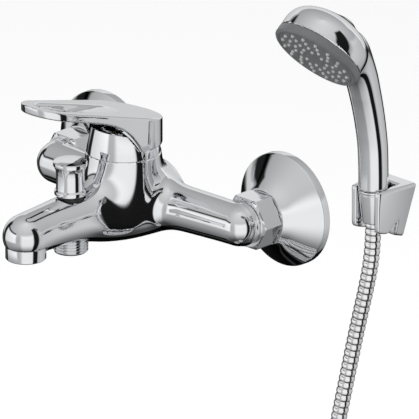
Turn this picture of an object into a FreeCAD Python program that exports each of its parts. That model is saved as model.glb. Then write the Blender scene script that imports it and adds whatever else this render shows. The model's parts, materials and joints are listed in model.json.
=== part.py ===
import FreeCAD, Part
import Sketcher
import math
import os

from FreeCAD import Placement, Rotation, Vector

# Wall-mounted bath mixer with a hand shower on a wall bracket, in millimetres.
# The origin lies on the wall, midway between the two inlets.
# X runs to the right, Y into the wall and Z up.

os.makedirs("parts", exist_ok=True)
doc = FreeCAD.newDocument("bath_mixer")
sheet = doc.addObject("Spreadsheet::Sheet", "sizes")

# Driving dimensions

SIZES = [
    # inlets and what hides them
    ("inlet_pitch", 150),
    ("wall_thread_radius", 10.48),
    ("wall_thread_length", 16),
    ("union_offset", 6),
    ("union_thread_radius", 13.1),
    ("union_bore", 7),
    ("rosette_radius", 34.25),
    ("rosette_rim", 5.6),
    ("rosette_depth", 22),
    ("rosette_neck", 17),
    ("rosette_wall", 1.4),
    ("nut_across_flats", 30),
    ("nut_depth", 14.3),
    ("nut_lip", 2.8),
    ("nut_chamfer", 1),
    ("nut_gap", 0.2),
    ("washer_thickness", 2),
    ("tail_radius", 10.4),
    ("tail_flange", 2.5),
    ("tail_screwed", 6),
    # casting
    ("elbow_back", 36.6),
    ("elbow_forward", 41),
    ("elbow_radius", 12.6),
    ("collar_radius", 13),
    ("arm_radius", 14.6),
    ("arm_forward", 47),
    ("waterway", 8),
    ("tower_forward", 61.6),
    ("tower_radius", 22.2),
    ("tower_top", 32.6),
    ("tower_shoulder", -4),
    ("tower_bottom", -16.5),
    ("tower_bore", 18),
    ("tower_floor", 3),
    ("spout_reach", 142.1),
    ("spout_root_radius", 17),
    ("spout_mid_radius", 14.8),
    ("spout_end_radius", 13.3),
    ("spout_rise", 1.4),
    ("nose_radius", 13.6),
    ("nose_flat", -5.65),
    # spout mouth
    ("aerator_radius", 12),
    ("aerator_bottom", -13.5),
    ("aerator_wall", 1.6),
    ("aerator_screwed", 6),
    # diverter
    ("diverter_forward", 105.4),
    ("chamber_radius", 8.4),
    ("chamber_top", 6),
    ("chamber_floor", -8),
    ("bonnet_radius", 8),
    ("bonnet_seat", 12.2),
    ("bonnet_top", 16.2),
    ("bonnet_thread", 6.6),
    ("spindle_radius", 2.5),
    ("spindle_fit", 0.05),
    ("knob_bottom", 16.8),
    ("knob_top", 37.9),
    ("knob_radius", 10.1),
    ("knob_waist", 8.4),
    ("knob_foot", 9.4),
    ("knob_rim", 2.5),
    ("diverter_lift", 9),
    ("valve_radius", 7.4),
    ("valve_thickness", 2.4),
    # shower outlet
    ("outlet_radius", 10.48),
    ("outlet_bottom", -18.6),
    ("outlet_shoulder", -15.3),
    ("outlet_seat", -9.4),
    ("outlet_bore", 6.4),
    # cartridge
    ("cartridge_radius", 17.5),
    ("cartridge_wall", 2),
    ("cartridge_top", 29.5),
    ("disc_thickness", 3.8),
    ("moving_disc_radius", 9.5),
    ("moving_disc_thickness", 5.6),
    ("driver_radius", 15.2),
    ("driver_bottom", 17.2),
    ("driver_shoulder", 24),
    ("driver_neck", 8.5),
    ("driver_top", 33),
    ("pivot_height", 28),
    ("pin_radius", 1.5),
    ("stem_radius", 3),
    ("stem_reach", 12),
    ("stem_top", 54),
    ("cartridge_nut_radius", 19.6),
    ("cartridge_nut_bore", 11.5),
    ("cartridge_nut_height", 6.5),
    # cover and lever
    ("cover_wall", 1.4),
    ("cover_hole", 11.5),
    ("cover_waist_radius", 21.2),
    ("cover_rim_radius", 18.8),
    ("cover_back_height", 7.9),
    ("cover_front_height", 17.6),
    ("lever_radius", 23),
    ("lever_wall", 1.1),
    ("lever_edge", 38.2),
    ("lever_top", 58.1),
    ("lever_slope", 15.6),
    ("lever_roof", 4),
    ("lever_reach", 77),
    ("lever_thickness", 5),
    ("slot_start", 5.6),
    ("slot_through", 37),
    ("slot_end", 69),
    ("slot_half_width", 10.3),
    ("boss_radius", 8),
    ("boss_bottom", 49),
    # hand shower and its bracket
    ("shower_side", 164.7),
    ("shower_forward", 21.2),
    ("handle_radius", 8.8),
    ("handle_wall", 1.8),
    ("joint_height", 41),
    ("cone_bottom", 20.6),
    ("cone_radius", 6.75),
    ("head_forward", 70.1),
    ("head_height", 133.7),
    ("head_tilt", 41),
    ("head_radius", 27.4),
    ("face_band", 5.5),
    ("nozzle_radius", 0.75),
    ("nozzle_height", 1),
    ("bracket_reach", 28.3),
    ("bracket_top", 42.4),
    ("bracket_bottom", 17.3),
    ("bracket_half_width", 11.35),
    ("channel_width", 15),
    ("channel_back", 8.6),
    ("seat_gap", 0.3),
    ("screw_radius", 2),
    ("screw_head_radius", 4),
    # hose
    ("hose_radius", 4.75),
    ("hose_bore", 2.6),
    ("hose_groove", 0.55),
    ("rib_pitch", 4.1),
    ("hose_lean", 0.19),
    ("hose_drop", 194),
    ("coil_radius", 50.5),
    ("coil_pitch", 10.3),
    ("coil_turns", 4),
    ("end_nut_length", 22),
]


class Size:
    """A number together with the sheet formula that gives it."""

    def __init__(self, value, text):
        self.value = float(value)
        self.text = text

    def joined(self, other, sign, swap=False):
        other = as_size(other)
        first, second = (other, self) if swap else (self, other)
        text = f"({first.text} {sign} {second.text})"
        values = {
            "+": lambda: first.value + second.value,
            "-": lambda: first.value - second.value,
            "*": lambda: first.value * second.value,
            "/": lambda: first.value / second.value,
        }
        return Size(values[sign](), text)

    def __add__(self, other):
        return self.joined(other, "+")

    def __radd__(self, other):
        return self.joined(other, "+", True)

    def __sub__(self, other):
        return self.joined(other, "-")

    def __rsub__(self, other):
        return self.joined(other, "-", True)

    def __mul__(self, other):
        return self.joined(other, "*")

    def __rmul__(self, other):
        return self.joined(other, "*", True)

    def __truediv__(self, other):
        return self.joined(other, "/")

    def __neg__(self):
        return Size(-self.value, f"(0 - {self.text})")

    def __float__(self):
        return self.value


def as_size(number):
    return number if isinstance(number, Size) else Size(number, repr(float(number)))


for row, (alias, value) in enumerate(SIZES, start=1):
    sheet.set(f"A{row}", alias)
    sheet.set(f"B{row}", str(value))
    sheet.setAlias(f"B{row}", alias)
doc.recompute()

size = {alias: Size(value, f"sizes.{alias}") for alias, value in SIZES}


class Named:
    """Reads a driving dimension by its name."""

    def __getattr__(self, alias):
        return size[alias]


d = Named()
pieces = []


# Helpers

def bind(thing, prop, amount):
    thing.setExpression(prop, as_size(amount).text)


def place(thing, at, rotation=None):
    """Puts a piece at a point whose coordinates stay bound to the sheet."""
    thing.Placement = Placement(Vector(*[float(c) for c in at]), rotation or Rotation())
    for letter, amount in zip("xyz", at):
        bind(thing, f".Placement.Base.{letter}", amount)


def piece(thing, label):
    """Marks a finished piece, whose label names its file."""
    thing.Label = label
    pieces.append(thing)
    return thing


def origin_plane(body, role):
    return next(f for f in body.Origin.OriginFeatures if f.Role == role)


def polygon_sketch(body, name, points, role="XZ_Plane"):
    """A closed outline whose corners are all bound to the sheet."""
    sketch = body.newObject("Sketcher::SketchObject", name)
    sketch.AttachmentSupport = [(origin_plane(body, role), "")]
    sketch.MapMode = "FlatFace"
    corners = [Vector(float(x), float(y), 0) for x, y in points]
    count = len(corners)
    sketch.addGeometry([Part.LineSegment(corners[i], corners[(i + 1) % count]) for i in range(count)])
    sketch.addConstraint([Sketcher.Constraint("Coincident", i, 2, (i + 1) % count, 1) for i in range(count)])
    for i, (x, y) in enumerate(points):
        for kind, letter, amount in (("DistanceX", "x", x), ("DistanceY", "y", y)):
            index = sketch.addConstraint(Sketcher.Constraint(kind, -1, 1, i, 1, float(amount)))
            sketch.renameConstraint(index, f"{letter}{i}")
            bind(sketch, f"Constraints.{letter}{i}", amount)
    return sketch


def turned(label, points, at=(0, 0, 0), rotation=None):
    """A solid of revolution about its own Z, from (radius, height) corners."""
    body = doc.addObject("PartDesign::Body", label)
    sketch = polygon_sketch(body, label + "_profile", points)
    revolution = body.newObject("PartDesign::Revolution", label + "_turned")
    revolution.Profile = sketch
    revolution.ReferenceAxis = (sketch, ["V_Axis"])
    revolution.Angle = 360
    body.Tip = revolution
    place(body, at, rotation)
    return body


def rod(name, radius, length, at, rotation=None):
    thing = doc.addObject("Part::Cylinder", name)
    bind(thing, "Radius", radius)
    bind(thing, "Height", length)
    place(thing, at, rotation)
    return thing


def block(name, low, high):
    thing = doc.addObject("Part::Box", name)
    for prop, a, b in zip(("Length", "Width", "Height"), low, high):
        bind(thing, prop, as_size(b) - a)
    place(thing, low)
    return thing


def cut(name, base, tools):
    for index, tool in enumerate(tools):
        step = doc.addObject("Part::Cut", f"{name}_cut_{index}")
        step.Base = base
        step.Tool = tool
        base = step
    return base


def fused(name, things):
    step = doc.addObject("Part::MultiFuse", name)
    step.Shapes = things
    step.Refine = True
    return step


def shaped(label, shape):
    """A free shape that the solid primitives don't give."""
    thing = doc.addObject("Part::Feature", label)
    thing.Shape = shape
    return thing


def circle_wire(centre, normal, radius):
    return Part.Wire([Part.Circle(Vector(*centre), Vector(*normal), radius).toShape()])


TO_ROOM = Rotation(Vector(1, 0, 0), 90)
TO_WALL = Rotation(Vector(1, 0, 0), -90)
TO_RIGHT = Rotation(Vector(0, 1, 0), 90)


# Inlets

NUT_BACK = d.rosette_depth + d.nut_gap
NUT_FRONT = NUT_BACK + d.nut_depth
TAIL_FRONT = NUT_FRONT - d.nut_lip
UNION_FRONT = TAIL_FRONT - d.tail_flange - d.washer_thickness
UNION_STEP = 9
SIDES = (("left", -1), ("right", 1))


def eccentric_union(side, sign):
    """The S-shaped coupling between the pipe in the wall and the mixer."""
    x = sign * d.inlet_pitch / 2
    name = f"union_{side}"
    inner_end = 4
    disc_radius = d.union_thread_radius + d.union_offset / 2 + 0.8
    wall_end = rod(f"{name}_wall_thread", d.wall_thread_radius, d.wall_thread_length + inner_end,
                   (x, d.wall_thread_length, -d.union_offset), TO_ROOM)
    disc = rod(f"{name}_disc", disc_radius, UNION_STEP - inner_end,
               (x, -inner_end, -d.union_offset / 2), TO_ROOM)
    mixer_end = rod(f"{name}_mixer_thread", d.union_thread_radius, UNION_FRONT - UNION_STEP,
                    (x, -UNION_STEP, 0), TO_ROOM)
    wall_bore = rod(f"{name}_wall_bore", d.union_bore, d.wall_thread_length + UNION_STEP,
                    (x, d.wall_thread_length, -d.union_offset), TO_ROOM)
    mixer_bore = rod(f"{name}_mixer_bore", d.union_bore, UNION_FRONT - inner_end,
                     (x, -inner_end, 0), TO_ROOM)
    solid = fused(f"{name}_solid", [wall_end, disc, mixer_end])
    piece(cut(name, solid, [wall_bore, mixer_bore]), f"eccentric_union_{side}")


def rosette(side, sign):
    """A thin flange that hides the hole in the wall."""
    inner = d.union_thread_radius + 0.4
    roof = d.rosette_depth - d.rosette_wall
    profile = [
        (d.rosette_radius, 0),
        (d.rosette_radius, d.rosette_rim),
        (d.rosette_neck, d.rosette_depth),
        (inner, d.rosette_depth),
        (inner, roof),
        (d.rosette_neck - d.rosette_wall / 2, roof),
        (d.rosette_radius - d.rosette_wall, d.rosette_rim - d.rosette_wall / 2),
        (d.rosette_radius - d.rosette_wall, 0),
    ]
    at = (sign * d.inlet_pitch / 2, 0, 0)
    piece(turned(f"rosette_{side}", profile, at, TO_ROOM), f"rosette_{side}")


def union_nut(side, sign):
    """The hexagon nut that pulls the mixer onto its union."""
    x = sign * d.inlet_pitch / 2
    name = f"nut_{side}"
    corner = d.nut_across_flats / math.sqrt(3)
    flat = d.nut_across_flats / 2
    hexagon = doc.addObject("Part::Prism", f"{name}_hexagon")
    hexagon.Polygon = 6
    bind(hexagon, "Circumradius", corner)
    bind(hexagon, "Height", d.nut_depth)
    place(hexagon, (x, -NUT_BACK, 0), TO_ROOM)
    rounding = turned(f"{name}_chamfers", [
        (0, 0), (flat, 0), (corner, d.nut_chamfer), (corner, d.nut_depth - d.nut_chamfer),
        (flat, d.nut_depth), (0, d.nut_depth)], (x, -NUT_BACK, 0), TO_ROOM)
    chamfered = doc.addObject("Part::Common", f"{name}_chamfered")
    chamfered.Base = hexagon
    chamfered.Tool = rounding
    thread = rod(f"{name}_thread", d.union_thread_radius + 0.1, d.nut_depth - d.nut_lip,
                 (x, -NUT_BACK, 0), TO_ROOM)
    mouth = rod(f"{name}_mouth", d.tail_radius + 0.2, d.nut_depth, (x, -NUT_BACK, 0), TO_ROOM)
    piece(cut(name, chamfered, [thread, mouth]), f"union_nut_{side}")


def tail(side, sign):
    """The flanged tailpiece that the nut pulls on, screwed into the casting."""
    flange = d.union_thread_radius - 0.3
    bore = d.union_bore
    length = d.tail_flange + (d.elbow_back - TAIL_FRONT) + d.tail_screwed
    profile = [(bore, 0), (flange, 0), (flange, d.tail_flange), (d.tail_radius, d.tail_flange),
               (d.tail_radius, length), (bore, length)]
    at = (sign * d.inlet_pitch / 2, d.tail_flange - TAIL_FRONT, 0)
    piece(turned(f"tail_{side}", profile, at, TO_ROOM), f"nut_tailpiece_{side}")


def union_washer(side, sign):
    outer = d.union_thread_radius - 0.3
    profile = [(d.union_bore, 0), (outer, 0), (outer, d.washer_thickness), (d.union_bore, d.washer_thickness)]
    at = (sign * d.inlet_pitch / 2, -UNION_FRONT, 0)
    piece(turned(f"washer_{side}", profile, at, TO_ROOM), f"union_washer_{side}")


for side, sign in SIDES:
    eccentric_union(side, sign)
    rosette(side, sign)
    union_nut(side, sign)
    tail(side, sign)
    union_washer(side, sign)


# Casting

# a ball is this much larger than the round bar that it ends, so that the two meet in one clean circle
OVERSIZE = 0.05


def smooth_loft(sections):
    return Part.makeLoft([circle_wire(*section) for section in sections], True, False)


def arm(sign):
    """One arm: circles that grow and move forward from the elbow to the tower."""
    reach = d.inlet_pitch.value / 2
    sections = []
    for share in (0, 0.2, 0.4, 0.6, 0.8, 1):
        near = 1 - share
        radius = d.elbow_radius.value + (d.arm_radius.value - d.elbow_radius.value) * near ** 1.5
        forward = d.elbow_forward.value + (d.arm_forward.value - d.elbow_forward.value) * near ** 1.2
        sections.append(((sign * reach * share, -forward, 0), (1, 0, 0), radius))
    return smooth_loft(sections)


def elbow(sign):
    x = sign * d.inlet_pitch.value / 2
    ball = Part.makeSphere(d.elbow_radius.value + OVERSIZE, Vector(x, -d.elbow_forward.value, 0))
    collar = Part.makeCylinder(d.collar_radius.value, d.elbow_forward.value - d.elbow_back.value,
                               Vector(x, -d.elbow_back.value, 0), Vector(0, -1, 0))
    return ball.fuse(collar)


def tower():
    """A cylinder with a bowl-shaped underside."""
    radius = d.tower_radius.value
    bottom = d.tower_bottom.value
    shoulder = d.tower_shoulder.value
    top = d.tower_top.value
    quarter = math.pi / 8
    middle = Vector(radius * math.sin(2 * quarter), 0, shoulder + (bottom - shoulder) * math.cos(2 * quarter))
    bowl = Part.BSplineCurve()
    bowl.interpolate(Points=[
        Vector(0, 0, bottom),
        Vector(radius * math.sin(quarter), 0, shoulder + (bottom - shoulder) * math.cos(quarter)),
        middle,
        Vector(radius * math.sin(3 * quarter), 0, shoulder + (bottom - shoulder) * math.cos(3 * quarter)),
        Vector(radius, 0, shoulder)], InitialTangent=Vector(1, 0, 0), FinalTangent=Vector(0, 0, 1))
    outline = Part.Wire([
        bowl.toShape(),
        Part.LineSegment(Vector(radius, 0, shoulder), Vector(radius, 0, top)).toShape(),
        Part.LineSegment(Vector(radius, 0, top), Vector(0, 0, top)).toShape(),
        Part.LineSegment(Vector(0, 0, top), Vector(0, 0, bottom)).toShape()])
    solid = Part.Face(outline).revolve(Vector(0, 0, 0), Vector(0, 0, 1), 360)
    solid.translate(Vector(0, -d.tower_forward.value, 0))
    return solid


def spout():
    """Nearly round sections from the tower to a ball nose."""
    root, nose = d.tower_forward.value, d.spout_reach.value
    mid = d.diverter_forward.value
    end = nose - d.nose_radius.value
    rise = d.spout_rise.value
    forward = Vector(0, 1, 0)
    sections = [
        ((0, -root, 0), forward, d.spout_root_radius.value),
        ((0, -(root + mid) / 2, rise / 3), forward,
         (d.spout_root_radius.value + d.spout_mid_radius.value) / 2),
        ((0, -mid, rise), forward, d.spout_mid_radius.value),
        ((0, -end, rise), forward, d.spout_end_radius.value),
        ((0, -nose, 0), forward, d.nose_radius.value),
    ]
    ball = Part.makeSphere(d.nose_radius.value + OVERSIZE, Vector(0, -nose, 0))
    return smooth_loft(sections).fuse(ball)


def nose_trim():
    """What is taken off under the nose, where the aerator collar stands."""
    radius = d.nose_radius.value
    level = d.nose_flat.value
    nose = d.spout_reach.value
    front = Part.makeBox(4 * radius, 2 * radius, 2 * radius,
                         Vector(-2 * radius, -nose - 2 * radius, level - 2 * radius))
    round_part = Part.makeCylinder(d.aerator_radius.value + 0.3, 2 * radius, Vector(0, -nose, level),
                                   Vector(0, 0, -1))
    return front.fuse(round_part)


def nut_room(sign):
    """Room for a spanner's width round the nut, behind the elbow's collar face."""
    corner = d.nut_across_flats.value / math.sqrt(3)
    return Part.makeCylinder(corner + NUT_CLEARANCE, d.elbow_back.value,
                             Vector(sign * d.inlet_pitch.value / 2, -d.elbow_back.value, 0), Vector(0, 1, 0))


NUT_CLEARANCE = 0.8
PORT_SIDE = 5.5
PORT_FORWARD = 5
OUTLET_BACK = 4.5
PORT_RADIUS = 2
INLET_LEVEL = -2.6
OUTLET_LEVEL = -9.2
PASSAGE_RADIUS = 3
SPOUT_BORE = 9


def tube_between(start, end, radius):
    a, b = Vector(*start), Vector(*end)
    return Part.makeCylinder(radius, (b - a).Length, a, b - a)


def bore_between(radius, y, low, high):
    return Part.makeCylinder(radius, high - low, Vector(0, y, low))


def waterways():
    """Every hollow of the casting, as solids to cut away."""
    tower_y = -d.tower_forward.value
    nose_y = -d.spout_reach.value
    diverter_y = -d.diverter_forward.value
    half = d.inlet_pitch.value / 2
    floor = d.tower_floor.value
    hollows = [
        Part.makeCylinder(d.tower_bore.value, d.tower_top.value - floor, Vector(0, tower_y, floor)),
        Part.makeCylinder(d.cartridge_nut_radius.value + 0.1, d.tower_top.value - d.cartridge_top.value,
                          Vector(0, tower_y, d.cartridge_top.value)),
        tube_between((0, tower_y + OUTLET_BACK, floor), (0, tower_y + OUTLET_BACK, OUTLET_LEVEL),
                     PASSAGE_RADIUS),
        tube_between((0, tower_y + OUTLET_BACK, OUTLET_LEVEL),
                     (0, tower_y - d.tower_radius.value - PASSAGE_RADIUS, OUTLET_LEVEL), PASSAGE_RADIUS),
        tube_between((0, tower_y - d.tower_radius.value, d.spout_rise.value), (0, nose_y, d.spout_rise.value),
                     SPOUT_BORE),
        Part.makeCylinder(d.chamber_radius.value, d.chamber_top.value - d.chamber_floor.value,
                          Vector(0, diverter_y, d.chamber_floor.value)),
        bore_between(d.outlet_bore.value, diverter_y, d.outlet_seat.value - 1, d.chamber_floor.value + 1),
        bore_between(d.outlet_radius.value + 0.1, diverter_y, d.outlet_bottom.value, d.outlet_seat.value),
        bore_between(d.bonnet_thread.value + 0.1, diverter_y, d.chamber_top.value - 1, d.bonnet_seat.value),
        bore_between(d.bonnet_radius.value + 0.3, diverter_y, d.bonnet_seat.value, d.bonnet_top.value + 1),
        Part.makeCylinder(AERATOR_SPIGOT.value + 0.1, d.aerator_screwed.value + WASHER,
                          Vector(0, nose_y, d.nose_flat.value)),
    ]
    for side, sign in SIDES:
        x = sign * half
        back = -d.elbow_back.value
        inner = (sign * d.waterway.value * 1.6, -d.arm_forward.value, 0)
        port = (sign * PORT_SIDE, tower_y - PORT_FORWARD, INLET_LEVEL)
        hollows += [
            tube_between((x, back, 0), (x, back - d.tail_screwed.value, 0), d.tail_radius.value + 0.05),
            tube_between((x, -d.elbow_forward.value, 0), inner, d.waterway.value),
            Part.makeSphere(d.waterway.value, Vector(x, -d.elbow_forward.value, 0)),
            tube_between((inner[0], inner[1], INLET_LEVEL), port, PASSAGE_RADIUS),
            tube_between(port, (port[0], port[1], floor), PORT_RADIUS),
        ]
    return hollows


AERATOR_SPIGOT = d.aerator_radius - d.aerator_wall
WASHER = 1.6


def casting():
    """The one brass casting: tower, two arms and spout, with its waterways."""
    outside = tower().fuse([arm(-1), arm(1), elbow(-1), elbow(1), spout()])
    outside = outside.cut([nose_trim(), nut_room(-1), nut_room(1)])
    hollow = outside.cut(waterways())
    piece(shaped("casting", hollow.removeSplitter()), "mixer_body")


casting()


# Cartridge

HOUSING_BOTTOM = d.tower_floor + 1.2
DISC_BOTTOM = HOUSING_BOTTOM + d.cartridge_wall
DISC_TOP = DISC_BOTTOM + d.disc_thickness
DISC_GAP = 0.05
RUN_GAP = 0.3


def at_tower(height):
    return (0, -d.tower_forward, height)


def port_rods(name, bottom, height, clearance):
    """The two inlet ports and the outlet port, through a plate of the cartridge."""
    tower_y = -d.tower_forward
    spots = (("cold", PORT_SIDE, -PORT_FORWARD, PORT_RADIUS), ("hot", -PORT_SIDE, -PORT_FORWARD, PORT_RADIUS),
             ("mixed", 0, OUTLET_BACK, PASSAGE_RADIUS))
    return [rod(f"{name}_{port}", radius + clearance, height, (x, tower_y + y, bottom))
            for port, x, y, radius in spots]


def cartridge_seals():
    """The rubber rings between the casting's floor and the cartridge."""
    rings = []
    for port, x, y, radius in (("cold", PORT_SIDE, -PORT_FORWARD, PORT_RADIUS),
                               ("hot", -PORT_SIDE, -PORT_FORWARD, PORT_RADIUS),
                               ("mixed", 0, OUTLET_BACK, PASSAGE_RADIUS)):
        at = (x, y - d.tower_forward, d.tower_floor)
        outer = rod(f"seal_{port}_outer", radius + 1.3, HOUSING_BOTTOM - d.tower_floor, at)
        inner = rod(f"seal_{port}_inner", radius, HOUSING_BOTTOM - d.tower_floor, at)
        rings.append(cut(f"seal_{port}", outer, [inner]))
    seals = doc.addObject("Part::Compound", "cartridge_seals")
    seals.Links = rings
    piece(seals, "cartridge_seals")


def cartridge_housing():
    height = d.cartridge_top - HOUSING_BOTTOM
    inner = d.cartridge_radius - d.cartridge_wall
    case = rod("housing_case", d.cartridge_radius, height, at_tower(HOUSING_BOTTOM))
    room = rod("housing_room", inner, height - 2 * d.cartridge_wall, at_tower(DISC_BOTTOM))
    hole = rod("housing_hole", d.driver_neck + RUN_GAP, height, at_tower(DISC_TOP))
    ports = port_rods("housing_port", HOUSING_BOTTOM, d.cartridge_wall, 0)
    piece(cut("housing", case, [room, hole] + ports), "cartridge_housing")


def fixed_disc():
    plate = rod("fixed_plate", d.driver_radius, d.disc_thickness, at_tower(DISC_BOTTOM))
    piece(cut("fixed", plate, port_rods("fixed_port", DISC_BOTTOM, d.disc_thickness, 0)),
          "fixed_ceramic_disc")


def moving_disc():
    """The sliding disc, with the hollow that joins the ports and the pocket for the stem."""
    bottom = DISC_TOP + DISC_GAP
    plate = rod("moving_plate", d.moving_disc_radius, d.moving_disc_thickness, at_tower(bottom))
    hollow = rod("moving_hollow", PORT_SIDE - RUN_GAP, d.moving_disc_thickness / 3,
                 (0, -d.tower_forward + OUTLET_BACK * 0.7, bottom))
    top = bottom + d.moving_disc_thickness
    pocket = rod("moving_pocket", d.stem_radius + RUN_GAP, top - STEM_FOOT + RUN_GAP,
                 at_tower(STEM_FOOT - RUN_GAP))
    piece(cut("moving", plate, [hollow, pocket]), "moving_ceramic_disc")


STEM_FOOT = d.pivot_height - d.stem_reach - d.stem_radius


def driver():
    """The turning collar that carries the stem's pivot pin."""
    tower_y = -d.tower_forward
    skirt = rod("driver_skirt", d.driver_radius, d.driver_shoulder - d.driver_bottom,
                at_tower(d.driver_bottom))
    neck = rod("driver_neck_rod", d.driver_neck, d.driver_top - d.driver_shoulder,
               at_tower(d.driver_shoulder))
    side = d.stem_radius + RUN_GAP
    low_front = side + (d.pivot_height - d.driver_bottom) * TILT_TANGENT
    high_back = side + (d.driver_top - d.pivot_height) * TILT_TANGENT
    mid_front = side + (d.pivot_height - d.driver_shoulder) * TILT_TANGENT
    low = block("driver_low_slot", (-side, tower_y - low_front, d.driver_bottom),
                (side, tower_y + side, d.driver_shoulder))
    high = block("driver_high_slot", (-side, tower_y - mid_front, d.driver_shoulder),
                 (side, tower_y + high_back, d.driver_top))
    pin_hole = rod("driver_pin_hole", d.pin_radius, 2 * d.driver_neck,
                   (-d.driver_neck, tower_y, d.pivot_height), TO_RIGHT)
    piece(cut("driver", fused("driver_solid", [skirt, neck]), [low, high, pin_hole]), "cartridge_driver")
    piece(rod("pivot_pin", d.pin_radius, 2 * (d.driver_neck - RUN_GAP),
              (RUN_GAP - d.driver_neck, tower_y, d.pivot_height), TO_RIGHT), "stem_pivot_pin")


TILT_LIMIT = 25
TILT_TANGENT = math.tan(math.radians(TILT_LIMIT))


def stem():
    """The rod that the lever turns and tilts, its round foot in the moving disc."""
    shaft = rod("stem_shaft", d.stem_radius, d.stem_top - STEM_FOOT - d.stem_radius,
                at_tower(STEM_FOOT + d.stem_radius))
    foot = doc.addObject("Part::Sphere", "stem_foot")
    bind(foot, "Radius", d.stem_radius)
    place(foot, at_tower(STEM_FOOT + d.stem_radius))
    hole = rod("stem_hole", d.pin_radius + 0.05, 4 * d.stem_radius,
               (-2 * d.stem_radius, -d.tower_forward, d.pivot_height), TO_RIGHT)
    piece(cut("stem", fused("stem_solid", [shaft, foot]), [hole]), "cartridge_stem")


def cartridge_nut():
    """The ring that holds the cartridge down in the tower."""
    profile = [(d.cartridge_nut_bore, 0), (d.cartridge_nut_radius, 0),
               (d.cartridge_nut_radius, d.tower_top - d.cartridge_top),
               (d.cartridge_nut_radius - 2.6, d.cartridge_nut_height),
               (d.cartridge_nut_bore, d.cartridge_nut_height)]
    piece(turned("cartridge_nut", profile, at_tower(d.cartridge_top)), "cartridge_nut")


cartridge_seals()
cartridge_housing()
fixed_disc()
moving_disc()
driver()
stem()
cartridge_nut()


# Cover and lever

def profile_slab(points, half_width):
    """A side outline of (forward, height) points, as a slab about the mixer's middle plane."""
    tower_y = -d.tower_forward.value
    corners = [Vector(-half_width, tower_y - u, z) for u, z in points]
    return Part.Face(Part.makePolygon(corners + corners[:1])).extrude(Vector(2 * half_width, 0, 0))


def cover():
    """The chrome cap between tower and lever: higher in front, drawn in so that the lever can tilt.

    Its sloping lid has a hole for the stem at every tilt.
    """
    low = d.tower_top.value
    radius = d.tower_radius.value
    waist, rim, thick = d.cover_waist_radius.value, d.cover_rim_radius.value, d.cover_wall.value
    back, front = d.cover_back_height.value, d.cover_front_height.value
    taper = back * 0.6
    over_nut = d.cartridge_top.value + d.cartridge_nut_height.value + NUT_HEADROOM - low
    centre = Vector(0, -d.tower_forward.value, low)
    up = Vector(0, 0, 1)
    foot = Part.makeCone(radius, waist, taper, centre)
    wall = Part.makeCone(waist, rim, front - taper, centre + up * taper)
    bore = Part.makeCylinder(waist - thick, over_nut, centre)
    neck = Part.makeCone(waist - thick, rim - thick, front - over_nut, centre + up * over_nut)
    keep = profile_slab([(-radius, low), (-radius, low + back), (radius, low + front), (radius, low)], radius)
    under_lid = profile_slab([(-radius, low), (-radius, low + back - thick), (radius, low + front - thick),
                              (radius, low)], radius)
    hole = Part.makeCylinder(d.cover_hole.value, front, centre)
    inside = bore.fuse(neck).common(under_lid)
    piece(shaped("cover", foot.fuse(wall).common(keep).cut([inside, hole])), "cartridge_cover")


NUT_HEADROOM = 0.4


def lever_plane(forward, below=0):
    """Height of the lever's sloping top, or of a plane this far below it."""
    slope = math.radians(d.lever_slope.value)
    return d.lever_top.value + math.tan(slope) * forward - below / math.cos(slope)


def lever_plan():
    """The outline from above: a round cap that narrows to a blunt tip."""
    tower_y = -d.tower_forward.value
    radius = d.lever_radius.value
    reach = d.lever_reach.value
    start = radius / 6
    waist = [(0.91 * radius, 0.325 * reach), (0.84 * radius, 0.52 * reach), (0.77 * radius, 0.714 * reach),
             (0.69 * radius, 0.857 * reach), (0.476 * radius, 0.948 * reach)]
    begin = (math.sqrt(radius ** 2 - start ** 2), start)
    edges = []
    for sign in (1, -1):
        points = [Vector(sign * x, tower_y - u, 0) for x, u in [begin] + waist + [(0, reach)]]
        side = Part.BSplineCurve()
        side.interpolate(Points=points, InitialTangent=Vector(-sign * begin[1], -begin[0], 0),
                         FinalTangent=Vector(-sign, 0, 0))
        edges.append(side.toShape())
    back = Part.Arc(Vector(begin[0], tower_y - begin[1], 0), Vector(0, tower_y + radius, 0),
                    Vector(-begin[0], tower_y - begin[1], 0)).toShape()
    outline = Part.Wire(Part.__sortEdges__(edges + [back]))
    return Part.Face(outline).extrude(Vector(0, 0, 2 * d.lever_top.value))


def lever_side():
    """The outline from the side: sloping blade, and a skirt that sweeps down round the cap."""
    thick = d.lever_thickness.value
    edge = d.lever_edge.value
    reach, radius = d.lever_reach.value, d.lever_radius.value
    rows = [(1.75 * radius, thick), (1.02 * radius, 1.6 * thick), (0.6 * radius, 2.2 * thick),
            (0.47 * radius, 2.7 * thick)]
    sweep = [(u, lever_plane(u, below)) for u, below in rows]
    behind, beyond = -1.1 * radius, 1.1 * reach
    points = [(behind, edge), (behind, lever_plane(behind)), (beyond, lever_plane(beyond)),
              (beyond, lever_plane(beyond, thick))] + sweep + [(0.28 * radius, edge)]
    return profile_slab(points, 1.2 * radius)


def lever_slot():
    """The loop through the blade and the thumb scoop that leads into it."""
    tower_y = -d.tower_forward.value
    wide = d.slot_half_width.value
    narrow = 0.87 * wide
    begin, end, through = d.slot_start.value, d.slot_end.value, d.slot_through.value
    tall = 2 * d.lever_top.value
    near, far = begin + narrow, end - wide
    rounds = [Part.makeCylinder(r, tall, Vector(0, tower_y - u, 0)) for r, u in ((narrow, near), (wide, far))]
    corners = [Vector(x, tower_y - u, 0) for x, u in
               ((narrow, near), (wide, far), (-wide, far), (-narrow, near), (narrow, near))]
    plan = Part.Face(Part.makePolygon(corners)).extrude(Vector(0, 0, tall)).fuse(rounds)
    deep = d.lever_thickness.value * 1.1
    ramp = profile_slab([(begin, lever_plane(begin)), (begin, tall), (end + wide, tall), (end + wide, 0),
                         (through, 0), (through, lever_plane(through, deep))], 2 * wide)
    return plan.common(ramp)


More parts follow.
